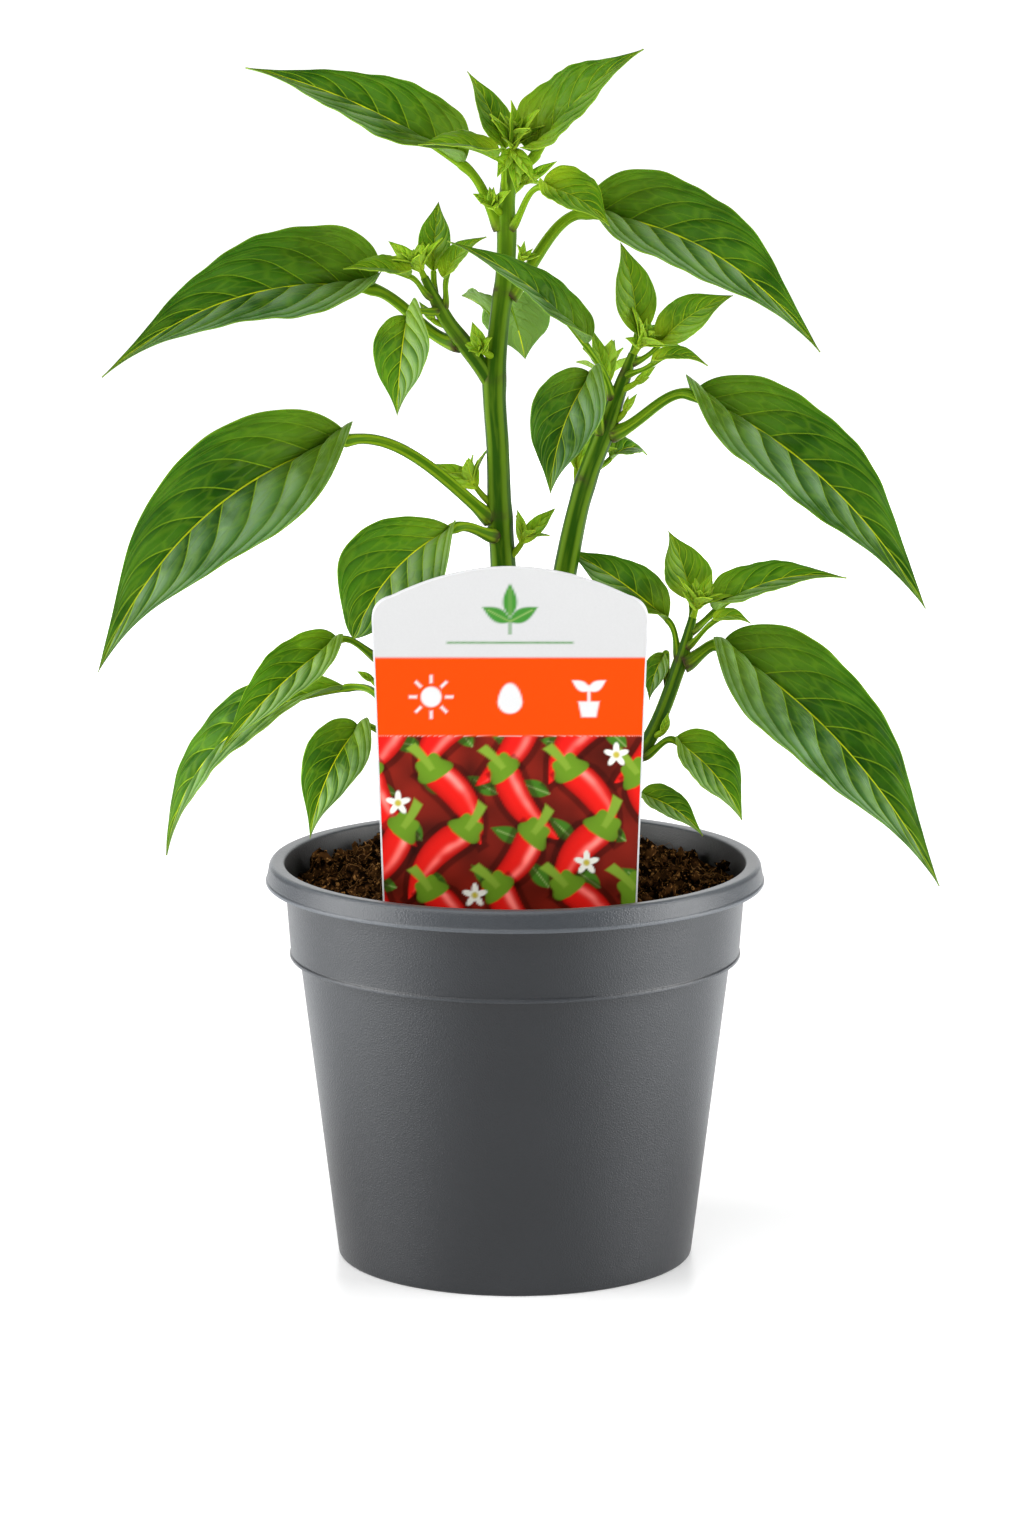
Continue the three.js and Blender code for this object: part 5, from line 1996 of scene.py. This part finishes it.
@dataclass
class Plant:
    """The whole plant: its stems, its leaves and its shoots, and their finishes."""

    stem_skin: StalkFinish = StalkFinish(
        "stem_skin",
        deep=(0.02, 0.07, 0.001),
        ridge_sheen=(0.12, 0.22, 0.008),
        young=(0.12, 0.25, 0.005),
        mark=(0.045, 0.02, 0.016),
        ripening=(225, 290),
    )
    stalk_skin: StalkFinish = StalkFinish(
        "leaf_stalk",
        deep=(0.055, 0.15, 0.002),
        ridge_sheen=(0.23, 0.36, 0.01),
        young=(0.19, 0.34, 0.008),
        mark=(0.05, 0.03, 0.015),
        ripening=(235, 280),
    )
    mature: BladeFinish = BladeFinish(
        "leaf_mature",
        deep=(0.01, 0.048, 0.0008),
        fresh=(0.026, 0.098, 0.001),
        sheen=(0.055, 0.14, 0.01),
        lower_sheen=(0.14, 0.225, 0.11),
        vein=(0.15, 0.27, 0.01),
        lit_vein=(0.21, 0.34, 0.012),
        midrib=(0.5, 0.58, 0.01),
        underside=(0.11, 0.21, 0.045),
    )
    young: BladeFinish = BladeFinish(
        "leaf_fresh",
        deep=(0.028, 0.11, 0.001),
        fresh=(0.095, 0.225, 0.002),
        sheen=(0.19, 0.33, 0.02),
        lower_sheen=(0.24, 0.37, 0.075),
        vein=(0.3, 0.44, 0.012),
        lit_vein=(0.4, 0.54, 0.014),
        midrib=(0.38, 0.52, 0.02),
        underside=(0.16, 0.29, 0.03),
        lit_base=0.55,
        sheen_strength=0.35,
    )
    bud: BladeFinish = BladeFinish(
        "leaf_bud",
        deep=(0.07, 0.19, 0.003),
        fresh=(0.17, 0.35, 0.006),
        sheen=(0.26, 0.44, 0.03),
        lower_sheen=(0.28, 0.44, 0.06),
        vein=(0.32, 0.47, 0.015),
        lit_vein=(0.42, 0.56, 0.02),
        midrib=(0.38, 0.52, 0.02),
        underside=(0.22, 0.38, 0.03),
        lit_base=0.5,
        sheen_strength=0.5,
    )

    def build(self) -> None:
        """Make every stem, leaf and shoot."""
        stem_skin, stalk_skin = self.stem_skin.material(), self.stalk_skin.material()
        blades = {Age.MATURE: self.mature.material(), Age.YOUNG: self.young.material()}
        bud = self.bud.material()
        for stem in STEMS.values():
            stem.surface().piece("stem_" + stem.name, stem_skin, "stem_green", "stems")
        for number, leaf in enumerate(leaf_table()):
            leaf.seed = number
            leaf.blade().piece("blade_" + leaf.name, blades[leaf.age], leaf.age.value, "leaf_" + leaf.name)
            leaf.stalk().piece("stalk_" + leaf.name, stalk_skin, "stem_green")
        for shoot in shoot_table():
            axis, leaflets = shoot.surfaces()
            axis.piece(shoot.name + "_axis", stalk_skin, "stem_green")
            leaflets.piece(shoot.name + "_leaflets", bud, Age.YOUNG.value, shoot.name)


# ---------------------------------------------------------------- studio


def facing_along(way: Vector) -> Any:
    """The turn that points a camera or lamp along a way, with its upper edge up."""
    return way.to_track_quat("-Z", "Y").to_euler()


@dataclass
class Studio:
    """A pale floor, soft lamps and a camera at the height of the plant. In metres."""

    distance: float = 1.6
    elevation: float = math.radians(11)
    target: tuple[float, float, float] = (-0.0008, 0.0, 0.1292)
    picture_height: float = 1536 * 0.26 * MM
    sensor: float = 36.0
    lit_middle: tuple[float, float, float] = (0, 0, 0.17)
    floor_reach: float = 6.0
    room_light: float = 0.22

    def camera(self) -> None:
        """A camera at the distance and elevation, whose frame is as high as the picture at the target."""
        back = Vector((0, -math.cos(self.elevation), math.sin(self.elevation)))
        data = bpy.data.cameras.new("camera")
        data.sensor_fit = "VERTICAL"
        data.sensor_width = self.sensor
        data.sensor_height = self.sensor
        data.lens = self.sensor * self.distance / self.picture_height
        camera = show("camera", data)
        camera.location = Vector(self.target) + back * self.distance
        camera.rotation_euler = facing_along(-back)
        bpy.context.scene.camera = camera

    def floor(self) -> None:
        """A wide floor on the plane that the pot stands on."""
        side = self.floor_reach
        corners = [(-side, -side, 0), (side, -side, 0), (side, side, 0), (-side, side, 0)]
        mesh = bpy.data.meshes.new("floor")
        mesh.from_pydata(corners, [], [(0, 1, 2, 3)])
        mesh.materials.append(FloorFinish().material())
        show("floor", mesh)

    def lamp(self, name: str, place: tuple[float, float, float], size: float, power: float) -> None:
        """A square soft lamp that faces the middle of the plant.

        Args:
            name: its name.
            place: where it stands.
            size: its side.
            power: in watts.
        """
        data = bpy.data.lights.new(name, "AREA")
        data.size = size
        data.energy = power
        lamp = show(name, data)
        lamp.location = place
        lamp.rotation_euler = facing_along(Vector(self.lit_middle) - Vector(place))
        lamp.visible_camera = False

    def sun(self, toward: tuple[float, float, float], spread: float, strength: float) -> None:
        """A soft light that is the same everywhere.

        Args:
            toward: the way from the plant to it.
            spread: the angle that it fills.
            strength: what it gives a surface that faces it.
        """
        data = bpy.data.lights.new("sky_panel", "SUN")
        data.angle = spread
        data.energy = strength
        show("sky_panel", data).rotation_euler = facing_along(-Vector(toward))

    def surroundings(self) -> None:
        """A white room: it shows as white, and lights less than it shows."""
        world = bpy.data.worlds.new("white_room")
        world.use_nodes = True
        nodes, links = world.node_tree.nodes, world.node_tree.links
        nodes.clear()
        path, mix = nodes.new("ShaderNodeLightPath"), nodes.new("ShaderNodeMixShader")
        links.new(path.outputs["Is Camera Ray"], mix.inputs[0])
        for number, strength in ((1, self.room_light), (2, 1.0)):
            white = nodes.new("ShaderNodeBackground")
            white.inputs["Color"].default_value = (1, 1, 1, 1)
            white.inputs["Strength"].default_value = strength
            links.new(white.outputs[0], mix.inputs[number])
        links.new(mix.outputs[0], nodes.new("ShaderNodeOutputWorld").inputs[0])
        bpy.context.scene.world = world

    def build(self) -> None:
        """Set up the room, the floor, the lamps and the camera."""
        self.surroundings()
        self.floor()
        self.sun((-0.25, -0.6, 0.85), math.radians(60), 1.35)
        for side in (-1, 1):
            self.lamp("side_panel", (side * 1.05, -0.2, 0.4), 0.95, 18)
        self.lamp("back_panel", (0.0, 1.4, 0.5), 1.4, 9)
        self.camera()
        bpy.context.scene.view_settings.view_transform = "Standard"


def main() -> None:
    """Build the pot, the soil, the label, the plant and the studio."""
    logging.basicConfig(level=logging.INFO, format="%(name)s: %(message)s")
    pot = NurseryPot()
    steps: list[tuple[str, Callable[[], None]]] = [
        ("pot", pot.build),
        ("soil", PottingSoil(pot).build),
        ("label", PictureLabel().build),
        ("plant", Plant().build),
        ("studio", Studio().build),
    ]
    for name, build in steps:
        build()
        LOG.info("%s is built", name)


if __name__ == "__main__":
    main()
